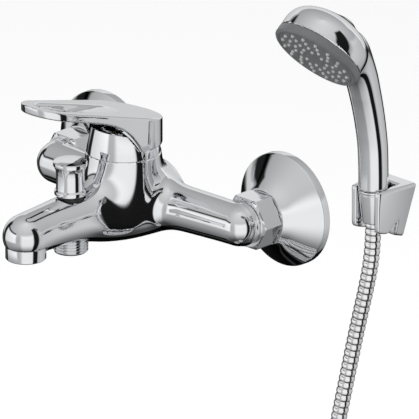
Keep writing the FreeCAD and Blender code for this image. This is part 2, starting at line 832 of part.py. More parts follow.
def lever():
    """The lever: cap, blade with its loop, and the boss that grips the stem."""
    axis = Vector(0, -d.tower_forward.value, 0)
    inner = d.lever_radius.value - d.lever_wall.value
    roof = d.lever_roof.value
    side = d.lever_radius.value
    under_roof = profile_slab([(-side, 0), (-side, lever_plane(-side, roof)), (side, lever_plane(side, roof)),
                               (side, 0)], side)
    room = Part.makeCylinder(inner, 2 * d.lever_top.value, axis).common(under_roof)
    boss = Part.makeCylinder(d.boss_radius.value, d.lever_top.value - d.boss_bottom.value,
                             axis + Vector(0, 0, d.boss_bottom.value))
    boss = boss.common(profile_slab([(-side, 0), (-side, lever_plane(-side, roof / 2)),
                                     (side, lever_plane(side, roof / 2)), (side, 0)], side))
    stem_hole = Part.makeCylinder(d.stem_radius.value, d.stem_top.value, axis)
    screw_hole = Part.makeCylinder(SET_SCREW_RADIUS, 2 * side, axis + Vector(0, 0, SCREW_LEVEL.value),
                                   Vector(-1, 0, 0))
    solid = lever_plan().common(lever_side()).cut(room).fuse(boss)
    solid = solid.cut([stem_hole, screw_hole]).cut(lever_slot())
    piece(shaped("lever_shape", solid.removeSplitter()), "lever")
    screw = rod("set_screw_rod", SET_SCREW_RADIUS, d.boss_radius - d.stem_radius,
                (-d.stem_radius, -d.tower_forward, SCREW_LEVEL), TO_LEFT)
    piece(screw, "lever_set_screw")
    plug = rod("plug_rod", SET_SCREW_RADIUS, d.lever_wall, (d.lever_wall - d.lever_radius, -d.tower_forward,
               SCREW_LEVEL), TO_LEFT)
    piece(plug, "lever_index_plug")


SET_SCREW_RADIUS = 1.6
SCREW_LEVEL = d.boss_bottom + 2
TO_LEFT = Rotation(Vector(0, 1, 0), -90)

cover()
lever()


# Diverter, shower outlet and aerator

def at_diverter(height):
    return (0, -d.diverter_forward, height)


VALVE_BOTTOM = d.chamber_floor + 0.6
VALVE_TOP = VALVE_BOTTOM + d.valve_thickness
BONNET_FOOT = d.bonnet_seat - 3.7
SPINDLE_TOP = d.knob_top - 4


def diverter():
    bore = d.spindle_radius + d.spindle_fit
    piece(turned("bonnet", [(bore, BONNET_FOOT), (d.bonnet_thread, BONNET_FOOT),
                            (d.bonnet_thread, d.bonnet_seat),
                            (d.bonnet_radius, d.bonnet_seat), (d.bonnet_radius, d.bonnet_top),
                            (bore, d.bonnet_top)], at_diverter(0)), "diverter_bonnet")
    piece(turned("valve", [(0, VALVE_BOTTOM), (d.valve_radius, VALVE_BOTTOM), (d.valve_radius, VALVE_TOP),
                           (d.spindle_radius, VALVE_TOP), (d.spindle_radius, SPINDLE_TOP), (0, SPINDLE_TOP)],
                 at_diverter(0)), "diverter_spindle")
    piece(turned("valve_seal", [(d.spindle_radius, d.chamber_floor + DISC_GAP),
                                (d.valve_radius, d.chamber_floor + DISC_GAP), (d.valve_radius, VALVE_BOTTOM),
                                (d.spindle_radius, VALVE_BOTTOM)], at_diverter(0)), "diverter_seal")
    piece(turned("spring", [(d.spindle_radius + 1.6, VALVE_TOP), (d.spindle_radius + 2.6, VALVE_TOP),
                            (d.spindle_radius + 2.6, BONNET_FOOT), (d.spindle_radius + 1.6, BONNET_FOOT)],
                 at_diverter(0)), "diverter_spring")
    foot_top = d.knob_bottom + d.knob_rim
    rim_bottom = d.knob_top - 0.7 - d.knob_rim
    profile = [
        (d.spindle_radius, d.knob_bottom),
        (d.knob_foot - 0.5, d.knob_bottom),
        (d.knob_foot, d.knob_bottom + 0.5),
        (d.knob_foot, foot_top - 0.5),
        (d.knob_waist, foot_top + 0.6),
        ((d.knob_waist + d.knob_radius) / 2 - 0.3, rim_bottom - 0.3),
        (d.knob_radius, rim_bottom + 0.3),
        (d.knob_radius, rim_bottom + d.knob_rim - 0.3),
        (d.knob_radius - 0.6, rim_bottom + d.knob_rim),
        (d.knob_radius / 2, d.knob_top - 0.2),
        (0, d.knob_top),
        (0, SPINDLE_TOP),
        (d.spindle_radius, SPINDLE_TOP),
    ]
    piece(turned("knob", profile, at_diverter(0)), "diverter_knob")


CHECK_TOP = d.outlet_seat - 1.4
CHECK_SEAT = CHECK_TOP - 2
POPPET_RADIUS = 3.2
POPPET_TRAVEL = 1.5


def shower_outlet():
    """The threaded nipple under the spout and the check valve pushed into it."""
    shank = d.outlet_radius - 0.3
    piece(turned("nipple", [(d.outlet_bore, d.outlet_bottom), (d.outlet_radius - 0.5, d.outlet_bottom),
                            (d.outlet_radius, d.outlet_bottom + 0.5), (d.outlet_radius, d.outlet_shoulder),
                            (shank, d.outlet_shoulder), (shank, d.outlet_seat),
                            (d.outlet_bore, d.outlet_seat)], at_diverter(0)), "shower_outlet_nipple")
    seat_radius = POPPET_RADIUS - 0.8
    guide = 1.2
    piece(turned("check", [(seat_radius, CHECK_TOP), (d.outlet_bore, CHECK_TOP),
                           (d.outlet_bore, d.outlet_bottom + 1),
                           (POPPET_RADIUS + 1.2, d.outlet_bottom + 1), (POPPET_RADIUS + 1.2, CHECK_SEAT),
                           (seat_radius, CHECK_SEAT)], at_diverter(0)), "check_valve_case")
    top = CHECK_SEAT - DISC_GAP
    piece(turned("poppet", [(0, top), (POPPET_RADIUS, top), (POPPET_RADIUS, top - 1.4), (guide, top - 1.4),
                            (guide, top - 4), (0, top - 4)], at_diverter(0)), "check_valve_poppet")


def at_nose(height):
    return (0, -d.spout_reach, height)


def aerator():
    bore = AERATOR_SPIGOT - d.aerator_wall
    spigot_top = d.nose_flat + d.aerator_screwed
    lip = d.aerator_bottom + 1
    piece(turned("aerator_case", [(bore - 1, d.aerator_bottom), (d.aerator_radius - 0.4, d.aerator_bottom),
                                  (d.aerator_radius, d.aerator_bottom + 0.4), (d.aerator_radius, d.nose_flat),
                                  (AERATOR_SPIGOT, d.nose_flat), (AERATOR_SPIGOT, spigot_top),
                                  (bore, spigot_top), (bore, lip), (bore - 1, lip)],
                 at_nose(0)), "aerator_housing")
    plate = rod("insert_plate", bore, 5, at_nose(lip))
    holes = [rod("insert_hole_0", AERATOR_HOLE, 5, at_nose(lip))]
    for ring, count in ((1, 6), (2, 12)):
        for i in range(count):
            angle = 2 * math.pi * i / count
            offset = ring * bore / 3.1
            at = (offset * math.cos(angle), offset * math.sin(angle) - d.spout_reach, lip)
            holes.append(rod(f"insert_hole_{ring}_{i}", AERATOR_HOLE, 5, at))
    piece(cut("insert", plate, [fused("insert_holes", holes)]), "aerator_insert")
    piece(turned("aerator_ring", [(bore, spigot_top), (AERATOR_SPIGOT, spigot_top),
                                  (AERATOR_SPIGOT, spigot_top + WASHER), (bore, spigot_top + WASHER)],
                 at_nose(0)), "aerator_washer")


AERATOR_HOLE = 0.9

diverter()
shower_outlet()
aerator()


# Hand shower

def at_shower(height):
    return (d.shower_side, -d.shower_forward, height)


HEAD_TURN = Rotation(Vector(1, 0, 0), 90 + d.head_tilt.value)
HEAD_AT = (d.shower_side, -d.head_forward, d.head_height)
SPIGOT_RADIUS = d.handle_radius - d.handle_wall
SPIGOT_LENGTH = 8
FACE_RADIUS = d.head_radius - 2.8
FACE_RECESS = 0.4
DOME_DEPTH = 28.3
NOZZLE_RINGS = ((0.35, 8), (0.53, 12), (0.71, 14), (0.88, 16))


def dome(shrink):
    """The back of the head: a spline turned about the head's axis, smaller all over by the wall."""
    radius = d.head_radius.value - 0.2
    deep = DOME_DEPTH
    outline = [(0, -1.0), (0.22, -0.982), (0.51, -0.90), (0.74, -0.80), (0.90, -0.69), (0.975, -0.53)]
    points = [Vector(r * radius, 0, z * deep) for r, z in outline]
    curve = Part.BSplineCurve()
    curve.interpolate(Points=points + [Vector(radius, 0, -d.face_band.value)],
                      InitialTangent=Vector(1, 0, 0), FinalTangent=Vector(0, 0, 1))
    if shrink:
        points = [Vector(max(0, p.x - shrink), 0, p.z + shrink) for p in points]
        curve = Part.BSplineCurve()
        curve.interpolate(Points=points + [Vector(radius - shrink, 0, -d.face_band.value)],
                          InitialTangent=Vector(1, 0, 0), FinalTangent=Vector(0, 0, 1))
    end = curve.value(curve.LastParameter)
    corner = Vector(0, 0, end.z)
    start = curve.value(curve.FirstParameter)
    outline = Part.Wire([curve.toShape(), Part.LineSegment(end, corner).toShape(),
                         Part.LineSegment(corner, start).toShape()])
    solid = Part.Face(outline).revolve(Vector(0, 0, 0), Vector(0, 0, 1), 360)
    solid.Placement = Placement(Vector(*[float(c) for c in HEAD_AT]), HEAD_TURN)
    return solid


def handle(shrink, first=0):
    """Round sections that rise from the joint and lean forward into the head."""
    x, back, low = d.shower_side.value, d.shower_forward.value, d.joint_height.value
    reach = d.head_forward.value - back
    rise = d.head_height.value - low
    rows = [(0, 0, 0), (0, 0.13, 0), (0.012, 0.28, 0.05), (0.042, 0.40, 0.15), (0.085, 0.52, 0.3),
            (0.14, 0.64, 0.5), (0.22, 0.78, 0.9), (0.345, 0.92, 1.5), (0.505, 1.035, 2.0), (0.67, 1.12, 0.0)]
    spots = [Vector(x, -(back + a * reach), low + b * rise) for a, b, more in rows]
    sections = []
    for i, (spot, row) in enumerate(zip(spots, rows)):
        ahead = spots[min(i + 1, len(spots) - 1)]
        behind = spots[max(i - 1, 0)]
        along = ahead - behind if i > 1 else Vector(0, 0, 1)
        sections.append((tuple(spot), tuple(along), d.handle_radius.value + row[2] - shrink))
    return smooth_loft(sections[first:])


def handset_shell():
    """Handle and head in one chromed shell, open under the face, with the threaded spigot."""
    wall = d.handle_wall.value
    foot = Vector(*[float(c) for c in at_shower(d.joint_height)])
    spigot = Part.makeCylinder(SPIGOT_RADIUS.value, SPIGOT_LENGTH, foot - Vector(0, 0, SPIGOT_LENGTH))
    bore = Part.makeCylinder(SPIGOT_RADIUS.value - wall, 3 * SPIGOT_LENGTH,
                             foot - Vector(0, 0, SPIGOT_LENGTH))
    shell = handle(0).fuse([dome(0), spigot]).cut([handle(wall, 1), dome(wall), bore])
    piece(shaped("handset", shell), "handset_shell")


def nozzle_spots():
    for share, count in NOZZLE_RINGS:
        for i in range(count):
            angle = 2 * math.pi * (i + 0.5 * (count % 4 == 0)) / count
            radius = share * FACE_RADIUS.value
            yield radius * math.cos(angle), radius * math.sin(angle)


def spray_head():
    """The grey ring and face, the rubber mat with its nozzles, and the plate that feeds them."""
    inner = FACE_RADIUS
    band = d.face_band
    piece(turned("ring", [(inner, -band), (d.head_radius, -band), (d.head_radius, -0.8),
                          (d.head_radius - 0.8, 0), (inner, 0)], HEAD_AT, HEAD_TURN), "spray_ring")
    face_low = -FACE_RECESS - 2
    mat_low = face_low - 1.6
    plate = Part.makeCylinder(inner.value, 2, Vector(0, 0, face_low))
    mat = [Part.makeCylinder(inner.value - 1.5, 1.6, Vector(0, 0, mat_low))]
    holes = []
    for x, y in nozzle_spots():
        holes.append(Part.makeCylinder(d.nozzle_radius.value + 0.1, 2, Vector(x, y, face_low)))
        mat.append(Part.makeCylinder(d.nozzle_radius.value, d.nozzle_height.value - mat_low - FACE_RECESS,
                                     Vector(x, y, mat_low)))
    place_head = Placement(Vector(*[float(c) for c in HEAD_AT]), HEAD_TURN)
    for name, label, shape in (("face", "spray_face", plate.cut(Part.makeCompound(holes))),
                               ("mat", "nozzle_mat", mat[0].fuse(mat[1:]))):
        thing = shaped(name, shape)
        thing.Placement = place_head
        piece(thing, label)
    feed_radius = d.head_radius - 0.2 - d.handle_wall - 0.2
    feed = turned("feed_plate", [(3, -band - 1.4), (feed_radius, -band - 1.4), (feed_radius, -band),
                                 (3, -band)], HEAD_AT, HEAD_TURN)
    piece(feed, "water_plate")


def hose_top():
    """The cone nut that sits in the bracket, with the washer and the ferrule that it clamps."""
    top = d.joint_height - 0.1
    washer_top = d.joint_height - SPIGOT_LENGTH - DISC_GAP
    washer_low = washer_top - 1.8
    flange_low = washer_low - 1.6
    ferrule = d.hose_radius - 0.4
    bore = SPIGOT_RADIUS + 0.05
    piece(turned("cone_nut", [(ferrule + 0.1, d.cone_bottom), (d.cone_radius - 0.4, d.cone_bottom),
                              (d.cone_radius, d.cone_bottom + 0.5), (d.handle_radius, top), (bore, top),
                              (bore, flange_low), (ferrule + 0.1, flange_low)], at_shower(0)), "hose_cone_nut")
    piece(turned("hose_washer_ring", [(3.4, washer_low), (bore - 0.1, washer_low),
                                      (bore - 0.1, washer_top), (3.4, washer_top)],
                 at_shower(0)), "hose_washer")
    piece(turned("ferrule", [(d.hose_bore, d.cone_bottom), (ferrule, d.cone_bottom), (ferrule, flange_low),
                             (bore - 0.1, flange_low), (bore - 0.1, washer_low), (d.hose_bore, washer_low)],
                 at_shower(0)), "hose_ferrule")


handset_shell()
spray_head()
hose_top()


# Wall bracket

def bracket():
    """A block that narrows towards the wall, with a forked, tapered seat for the cone nut."""
    side, top, low = d.shower_side.value, d.bracket_top.value, d.bracket_bottom.value
    half, reach = d.bracket_half_width.value, d.bracket_reach.value
    spread, toe_half, toe = 1.3 * half, 0.32 * half, low - 0.43 * (top - low)
    wall_face = [(-spread, top), (spread, top), (toe_half, toe), (-toe_half, toe)]
    front_face = [(-half, top), (half, top), (half, low), (-half, low)]
    wires = []
    for y, face in ((0, wall_face), (-reach, front_face)):
        corners = [Vector(side + x, y, z) for x, z in face]
        wires.append(Part.makePolygon(corners + corners[:1]))
    block_shape = Part.makeLoft(wires, True, True)
    gap = d.seat_gap.value
    axis_y = -d.shower_forward.value
    seat_low, seat_high = d.cone_bottom.value, d.joint_height.value
    cone = Part.makeCone(d.cone_radius.value + gap, d.handle_radius.value + gap, seat_high - seat_low,
                         Vector(side, axis_y, seat_low))
    above = Part.makeCylinder(d.handle_radius.value + gap, top - seat_high + 1,
                              Vector(side, axis_y, seat_high))
    below = Part.makeCylinder(d.cone_radius.value + gap, seat_low - toe + 1, Vector(side, axis_y, toe - 1))
    wide = d.channel_width.value
    channel = Part.makeBox(wide, reach, 2 * (top - toe),
                           Vector(side - wide / 2, -reach - d.channel_back.value, toe - 1))
    shape = block_shape.cut([cone, above, below, channel])
    for z in screw_levels():
        hole = Part.makeCylinder(d.screw_radius.value + 0.2, reach, Vector(side, 0, z), Vector(0, -1, 0))
        sink = Part.makeCylinder(d.screw_head_radius.value + 0.3, reach,
                                 Vector(side, SCREW_HEAD_DEPTH - d.channel_back.value, z), Vector(0, -1, 0))
        shape = shape.cut([hole, sink])
    piece(shaped("bracket", shape.removeSplitter()), "wall_bracket")


SCREW_HEAD_DEPTH = 3.4


def screw_levels():
    top, low = d.bracket_top.value, d.bracket_bottom.value
    return (top - 0.22 * (top - low), low + 0.1 * (top - low))


bracket()


# Hose

LEAN_X, LEAN_Y = -0.89, -0.455
BEND = 20
STRAIGHTEN = 43


def hose_point(drop):
    """A point of the hose this far below the nut: it leaves plumb, leans, and comes plumb again."""
    free = d.hose_drop.value - STRAIGHTEN
    lean = d.hose_lean.value
    first = min(drop, free)
    aside = lean * (math.sqrt(first ** 2 + BEND ** 2) - BEND)
    late = max(0, drop - free)
    aside += lean * (late - late ** 2 / (2 * STRAIGHTEN))
    x, y, z = [float(c) for c in at_shower(d.cone_bottom)]
    return Vector(x + LEAN_X * aside, y + LEAN_Y * aside, z - drop)


def hose_ring(drop, radius):
    """A circle square to the hose, with its X axis kept steady."""
    step = 0.01
    low = max(0, drop - step)
    high = min(d.hose_drop.value, drop + step)
    along = hose_point(low) - hose_point(high) if 0 < drop < d.hose_drop.value else Vector(0, 0, 1)
    ring = Part.makeCircle(radius)
    ring.Placement = Placement(hose_point(drop), Rotation(Vector(1, 0, 0), Vector(), along, "ZXY"))
    return Part.Wire([ring])


def shower_hose():
    """The ribbed hose down from the cone nut, with its bore."""
    crest = d.hose_radius.value
    groove = crest - d.hose_groove.value
    count = int(d.hose_drop.value / d.rib_pitch.value)
    pitch = d.hose_drop.value / count
    rings = [hose_ring(0, groove)]
    for rib in range(count):
        for share, radius in ((0.12, groove), (0.26, crest), (0.74, crest), (0.88, groove)):
            rings.append(hose_ring((rib + share) * pitch, radius))
    rings.append(hose_ring(d.hose_drop.value, groove))
    bore = [hose_ring(d.hose_drop.value * i / count, d.hose_bore.value) for i in range(count + 1)]
    tube = Part.makeLoft(rings, True, True).cut(Part.makeLoft(bore, True, True))
    print("hose ribs", count)
    piece(shaped("hose", tube), "shower_hose")


def biarc(start, start_way, end, end_way):
    """Two arcs that join two points with the given directions."""
    chord = end - start
    turn = start_way + end_way
    spread = 2 * (1 - start_way.dot(end_way))
    along = chord.dot(turn)
    reach = (math.sqrt(along ** 2 + spread * chord.dot(chord)) - along) / spread
    middle = (start + end + (start_way - end_way) * reach) * 0.5
    arcs = []
    for a, b, corner in ((start, middle, start + start_way * reach), (middle, end, end - end_way * reach)):
        half = (b - a).Length / 2
        angle = math.acos(half / reach)
        radius = reach / math.tan(angle)
        centre_line = corner - (a + b) * 0.5
        crown = (a + b) * 0.5 + centre_line * (radius * (1 - math.cos(angle)) / centre_line.Length)
        arcs.append(Part.Arc(a, crown, b).toShape())
    return arcs


def coil_point(quarter):
    """A point of the coil and its direction, counted in quarter turns from where the hose comes in."""
    start = hose_point(d.hose_drop.value) - Vector(0, 0, 2 * d.hose_radius.value)
    radius, pitch = d.coil_radius.value, d.coil_pitch.value
    angle = math.pi / 2 * quarter
    last = 4 * d.coil_turns.value
    centre = start - Vector(radius, 0, 0)
    aside = END_SHIFT if quarter == last else 0
    spot = centre + Vector(radius * math.cos(angle), -pitch * quarter / 4 - aside, -radius * math.sin(angle))
    way = Vector(-radius * math.sin(angle), -pitch / (2 * math.pi), -radius * math.cos(angle))
    if quarter in (0, last):
        way = Vector(0, 0, -1)
    return spot, way.normalize()


END_SHIFT = 9


def hose_coil():
    """The put-away length: one unbroken tube wound in quarter turns, its ends straight."""
    count = int(4 * d.coil_turns.value)
    diameter = 2 * d.hose_radius.value
    spots = [coil_point(q) for q in range(count + 1)]
    down = Vector(0, 0, -diameter)
    edges = [Part.LineSegment(spots[0][0] - down, spots[0][0]).toShape()]
    for (a, a_way), (b, b_way) in zip(spots, spots[1:]):
        edges += biarc(a, a_way, b, b_way)
    edges.append(Part.LineSegment(spots[-1][0], spots[-1][0] + down).toShape())
    path = Part.Wire(edges)
    section = Part.Wire([Part.makeCircle(d.hose_radius.value, spots[0][0] - down, Vector(0, 0, 1))])
    pipe = path.makePipeShell([section], True, False)
    samples = path.discretize(Number=1200)
    step = path.Length / 1199
    apart = int(3 * diameter / step)
    least = min((a - b).Length for i, a in enumerate(samples) for b in samples[i + apart:])
    print("coil length", round(path.Length, 1), "least gap", round(least - diameter, 2),
          "volume ratio", round(pipe.Volume / (math.pi * d.hose_radius.value ** 2 * path.Length), 4))
    print("hose length", round(hose_length(), 1), "whole", round(path.Length + hose_length(), 1))
    piece(shaped("coil", pipe), "hose_coil")
    return spots[-1][0] + down


def hose_length():
    steps = 200
    spots = [hose_point(d.hose_drop.value * i / steps) for i in range(steps + 1)]
    return sum((b - a).Length for a, b in zip(spots, spots[1:]))


def coil_tie():
    """The strap round the turns at the top of the coil."""
    room, thick, wide = 0.6, 1.2, 8
    first, last = coil_point(3)[0], coil_point(4 * int(d.coil_turns.value) - 1)[0]
    reach = d.hose_radius.value + room
    low = Vector(first.x - wide / 2, last.y - reach, first.z - reach)
    inner = Part.makeBox(wide, first.y - last.y + 2 * reach, 2 * reach, low)
    skin = Vector(0, thick, thick)
    outer = Part.makeBox(wide, first.y - last.y + 2 * (reach + thick), 2 * (reach + thick), low - skin)
    outer = outer.makeFillet(thick, [e for e in outer.Edges if abs(e.BoundBox.XLength - wide) < 0.01])
    piece(shaped("tie", outer.cut(inner)), "coil_tie")


def end_nut(top):
    """The hexagon nut for the mixer's shower outlet, at the hose's far end."""
    bore = d.outlet_radius.value + 0.1
    flats = 2 * bore + 3
    corner = flats / math.sqrt(3)
    length = d.end_nut_length.value
    neck = d.hose_radius.value + 1.6
    hexagon = [Vector(corner * math.cos(math.pi / 3 * i), corner * math.sin(math.pi / 3 * i), 0)
               for i in range(6)]
    low = top - Vector(0, 0, length)
    prism = Part.Face(Part.makePolygon(hexagon + hexagon[:1])).extrude(Vector(0, 0, 0.6 * length))
    prism.translate(low)
    sleeve = Part.makeCone(flats / 2, neck, 0.4 * length, low + Vector(0, 0, 0.6 * length))
    room = Part.makeCylinder(bore, 0.55 * length, low)
    channel = Part.makeCylinder(d.hose_bore.value, length, low)
    piece(shaped("end_nut", prism.fuse(sleeve).cut([room, channel])), "hose_end_nut")
    seat = low + Vector(0, 0, 0.55 * length - 2)
    ring = Part.makeCylinder(bore - 0.2, 2, seat).cut(Part.makeCylinder(bore / 2, 2, seat))
    piece(shaped("end_washer", ring), "hose_end_washer")


shower_hose()
coil_end = hose_coil()
coil_tie()
end_nut(coil_end)


# Checks and files

doc.recompute()


def verified(thing):
    if "Invalid" in thing.State or "Error" in thing.State:
        raise RuntimeError(f"{thing.Name} failed: {thing.State}")


for thing in doc.Objects:
    verified(thing)

for thing in pieces:
    shape = thing.Shape
    if shape.isNull() or not shape.isValid() or shape.Volume <= 0:
        raise RuntimeError(f"{thing.Label} has no sound shape")
    shape.exportStep(os.path.join("parts", f"{thing.Label}.step"))
    print(thing.Label, len(shape.Solids), round(shape.Volume, 1), shape.BoundBox)
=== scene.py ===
"""A wall-mounted bath mixer with its hand shower, hose and wall bracket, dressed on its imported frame."""

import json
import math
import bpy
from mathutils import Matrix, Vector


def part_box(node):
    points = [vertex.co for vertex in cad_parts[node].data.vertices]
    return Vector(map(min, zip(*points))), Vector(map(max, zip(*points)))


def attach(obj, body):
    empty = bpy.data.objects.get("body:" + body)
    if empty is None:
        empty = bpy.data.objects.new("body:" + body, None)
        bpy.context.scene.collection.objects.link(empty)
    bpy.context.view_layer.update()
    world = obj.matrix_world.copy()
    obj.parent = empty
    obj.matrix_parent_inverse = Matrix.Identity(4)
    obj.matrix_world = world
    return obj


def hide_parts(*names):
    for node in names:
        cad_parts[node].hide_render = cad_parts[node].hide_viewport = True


bl_info = {
    "name": "Bath Mixer",
    "version": (1, 0, 0),
    "blender": (4, 5, 0),
    "location": "View3D > Sidebar > Bath Mixer",
    "description": "Builds a chromed bath mixer with its hand shower, hose and wall bracket",
    "category": "Add Mesh",
}

import bpy
import numpy as np
from mathutils import Matrix, Vector

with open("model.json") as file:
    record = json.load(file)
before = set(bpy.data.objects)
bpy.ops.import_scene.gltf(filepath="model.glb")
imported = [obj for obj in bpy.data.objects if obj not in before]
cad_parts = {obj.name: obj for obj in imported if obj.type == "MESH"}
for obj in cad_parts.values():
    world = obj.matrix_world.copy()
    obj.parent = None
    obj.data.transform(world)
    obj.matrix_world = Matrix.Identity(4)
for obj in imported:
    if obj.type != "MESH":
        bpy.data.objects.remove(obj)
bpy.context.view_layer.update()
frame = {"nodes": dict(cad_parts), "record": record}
MM = 0.001
NEAR_ZERO = 1e-6


# Places taken from the frame, in millimetres

def span(node):
    """Lowest and highest corner of a frame node."""
    low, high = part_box(node)
    return np.array(low) / MM, np.array(high) / MM


def middle(node):
    """Middle of a frame node's box."""
    low, high = span(node)
    return (low + high) / 2


def upright_size(node):
    """Foot level, radius across X and height of a frame node that stands upright."""
    low, high = span(node)
    return low[2], (high[0] - low[0]) / 2, high[2] - low[2]


COVER_LOW, COVER_HIGH = span("cartridge_cover")
TOWER_RADIUS = (COVER_HIGH[0] - COVER_LOW[0]) / 2
TOWER_Y = COVER_LOW[1] + TOWER_RADIUS
TOWER_TOP = COVER_LOW[2]
INLET = middle("union_washer_right")[0]
NOSE_Y = middle("aerator_washer")[1]
NOSE_FLAT = TOWER_TOP - 38.25
DIVERTER_Y = middle("diverter_bonnet")[1]
SHOWER_X, SHOWER_Y = middle("hose_cone_nut")[:2]

# The shower head's way and the middle of its face, and the lever's slope, as in the part's source
HEAD_TILT = math.radians(41)
HEAD_WAY = np.array([0, -math.cos(HEAD_TILT), -math.sin(HEAD_TILT)])
HEAD_AT = np.array([SHOWER_X, -70.1, 133.7])
LEVER_SLOPE = math.radians(15.6)


# Fields: functions of points that are negative inside a form, near its distance outside

def smooth_min(a, b, blend):
    """The smaller of two fields, less w near^3 / 6, where w is 1.5 blend and near is 1 - |a - b| / w.

    The cube keeps the curvature continuous where the rounding begins, which polished metal shows.
    """
    wide = 1.5 * blend
    near = np.maximum(1 - np.abs(a - b) / wide, 0)
    return np.minimum(a, b) - wide * near ** 3 / 6


def smooth_max(a, b, blend):
    """The larger of two fields, rounded over in the same way."""
    return -smooth_min(-a, -b, blend)


def pear(across, along, first, second, length):
    """Distance in a plane to the outline round two circles of the radii first and second, length apart."""
    across = np.abs(across)
    lean = (first - second) / length
    upright = math.sqrt(1 - lean * lean)
    part = upright * along - lean * across
    near = np.hypot(across, along) - first
    far = np.hypot(across, along - length) - second
    side = upright * across + lean * along - first
    return np.where(part < 0, near, np.where(part > upright * length, far, side))


def bore(p, y, radius, low, high):
    """An upright round bore in the plane X = 0, between two levels."""
    return np.maximum(np.hypot(p[..., 0], p[..., 1] - y) - radius,
                      np.maximum(low - p[..., 2], p[..., 2] - high))


def slope_of(field, p):
    """How fast a field grows along X, Y and Z at each point, from its values a step to either side."""
    step = 0.01
    slope = np.empty_like(p)
    for axis, shift in enumerate(np.eye(3) * step):
        slope[:, axis] = (field(p + shift) - field(p - shift)) / (2 * step)
    return slope


def crossing_cells(field, low, high, cell):
    """The points and faces of the blocky surface between the grid nodes inside a field and those outside.

    One point lies in each cell whose corners differ in sign, and one face on each grid edge whose ends do.
    """
    axes = [np.arange(a - cell, b + 2 * cell, cell) for a, b in zip(low, high)]
    inside = field(np.stack(np.meshgrid(*axes, indexing="ij"), -1)) < 0
    halves = (slice(0, -1), slice(1, None))
    count = sum(inside[i, j, k].astype(np.int8) for i in halves for j in halves for k in halves)
    crossed = (count > 0) & (count < 8)
    number = np.cumsum(crossed).reshape(crossed.shape) - 1
    points = np.array([a[0] for a in axes]) + (np.argwhere(crossed) + 0.5) * cell
    faces = []
    for axis in range(3):
        u, v = (axis + 1) % 3, (axis + 2) % 3
        first = [slice(1, -1)] * 3
        second = [slice(1, -1)] * 3
        first[axis], second[axis] = halves
        starts, ends = inside[tuple(first)], inside[tuple(second)]
        edges = np.argwhere(starts != ends)
        outwards = starts[tuple(edges.T)]
        edges += 1
        edges[:, axis] -= 1
        ring = []
        for back_u, back_v in ((1, 1), (0, 1), (0, 0), (1, 0)):
            spot = edges.copy()
            spot[:, u] -= back_u
            spot[:, v] -= back_v
            ring.append(number[tuple(spot.T)])
        ring = np.stack(ring, 1)
        ring[~outwards] = ring[~outwards][:, ::-1]
        faces.append(ring)
    return points, np.concatenate(faces)


def skin(field, low, high, cell):
    """The surface where a field is zero, as evenly spread points and four-sided faces.

    Each round moves every point towards the mean of its neighbours, then along the field's slope by
    the field over the slope's length, which brings it back to the surface.
    """
    rounds, settling, pull, flattest = 6, 3, 0.6, 0.1
    points, faces = crossing_cells(field, low, high, cell)
    starts = faces.reshape(-1)
    ends = np.roll(faces, -1, axis=1).reshape(-1)
    one, other = np.concatenate([starts, ends]), np.concatenate([ends, starts])
    near = np.bincount(one, minlength=len(points))[:, None]
    for _ in range(rounds):
        total = np.stack([np.bincount(one, points[other, axis], len(points)) for axis in range(3)], 1)
        points = (1 - pull) * points + pull * total / near
        for _ in range(settling):
            slope = slope_of(field, points)
            steep = np.maximum((slope ** 2).sum(1, keepdims=True), flattest)
            move = -field(points)[:, None] * slope / steep
            reach = np.linalg.norm(move, axis=1, keepdims=True)
            points = points + move * np.minimum(1, cell / np.maximum(reach, 1e-9))
    return points, faces


# Lines and turned surfaces

def curve_through(points, steps):
    """A smooth line through points: cubics, with the slope at each point that joins its two neighbours."""
    points = np.array(points, float)
    ahead = np.vstack([points[1:], 2 * points[-1] - points[-2]])
    behind = np.vstack([2 * points[0] - points[1], points[:-1]])
    slopes = (ahead - behind) / 2
    t = np.linspace(0, 1, steps, endpoint=False)[None, :, None]
    a, b, a_slope, b_slope = points[:-1, None], points[1:, None], slopes[:-1, None], slopes[1:, None]
    line = ((2 * t ** 3 - 3 * t ** 2 + 1) * a + (t ** 3 - 2 * t ** 2 + t) * a_slope
            + (3 * t ** 2 - 2 * t ** 3) * b + (t ** 3 - t ** 2) * b_slope)
    return np.vstack([line.reshape(-1, points.shape[1]), points[-1:]])


def eased(outline, radius):
    """A closed outline of (r, z) corners, each turned into an arc of this radius or of what its sides allow.

    An arc's point is its centre plus its two end spokes, weighted by the sines of the angles to the other.
    A corner on the axis, or one that is almost straight, stays as it is.
    """
    steps, straight, most = 5, 1.55, 0.45
    outline = np.array(outline, float)
    line = []
    for before, corner, after in zip(np.roll(outline, 1, 0), outline, np.roll(outline, -1, 0)):
        a, b = before - corner, after - corner
        long_a, long_b = np.linalg.norm(a), np.linalg.norm(b)
        half = math.acos(np.clip(a @ b / (long_a * long_b), -1, 1)) / 2
        if corner[0] < NEAR_ZERO or half > straight:
            line.append(corner)
            continue
        back = min(radius / math.tan(half), most * long_a, most * long_b)
        bow = back * math.tan(half)
        a, b = a / long_a, b / long_b
        centre = corner + (a + b) / np.linalg.norm(a + b) * (bow / math.sin(half))
        first, last = corner + a * back - centre, corner + b * back - centre
        sweep = math.pi - 2 * half
        for share in np.linspace(0, 1, steps):
            spoke = first * math.sin((1 - share) * sweep) + last * math.sin(share * sweep)
            line.append(centre + spoke / math.sin(sweep))
    return np.array(line)


def ring_faces(count, sides, closed):
    """Four-sided faces between rings of points, the last ring joined to the first where they are closed."""
    row = np.arange(count if closed else count - 1)[:, None]
    column = np.arange(sides)[None]
    above, right = (row + 1) % count, (column + 1) % sides
    return np.stack([row * sides + column, row * sides + right, above * sides + right,
                     above * sides + column], -1).reshape(-1, 4).tolist()


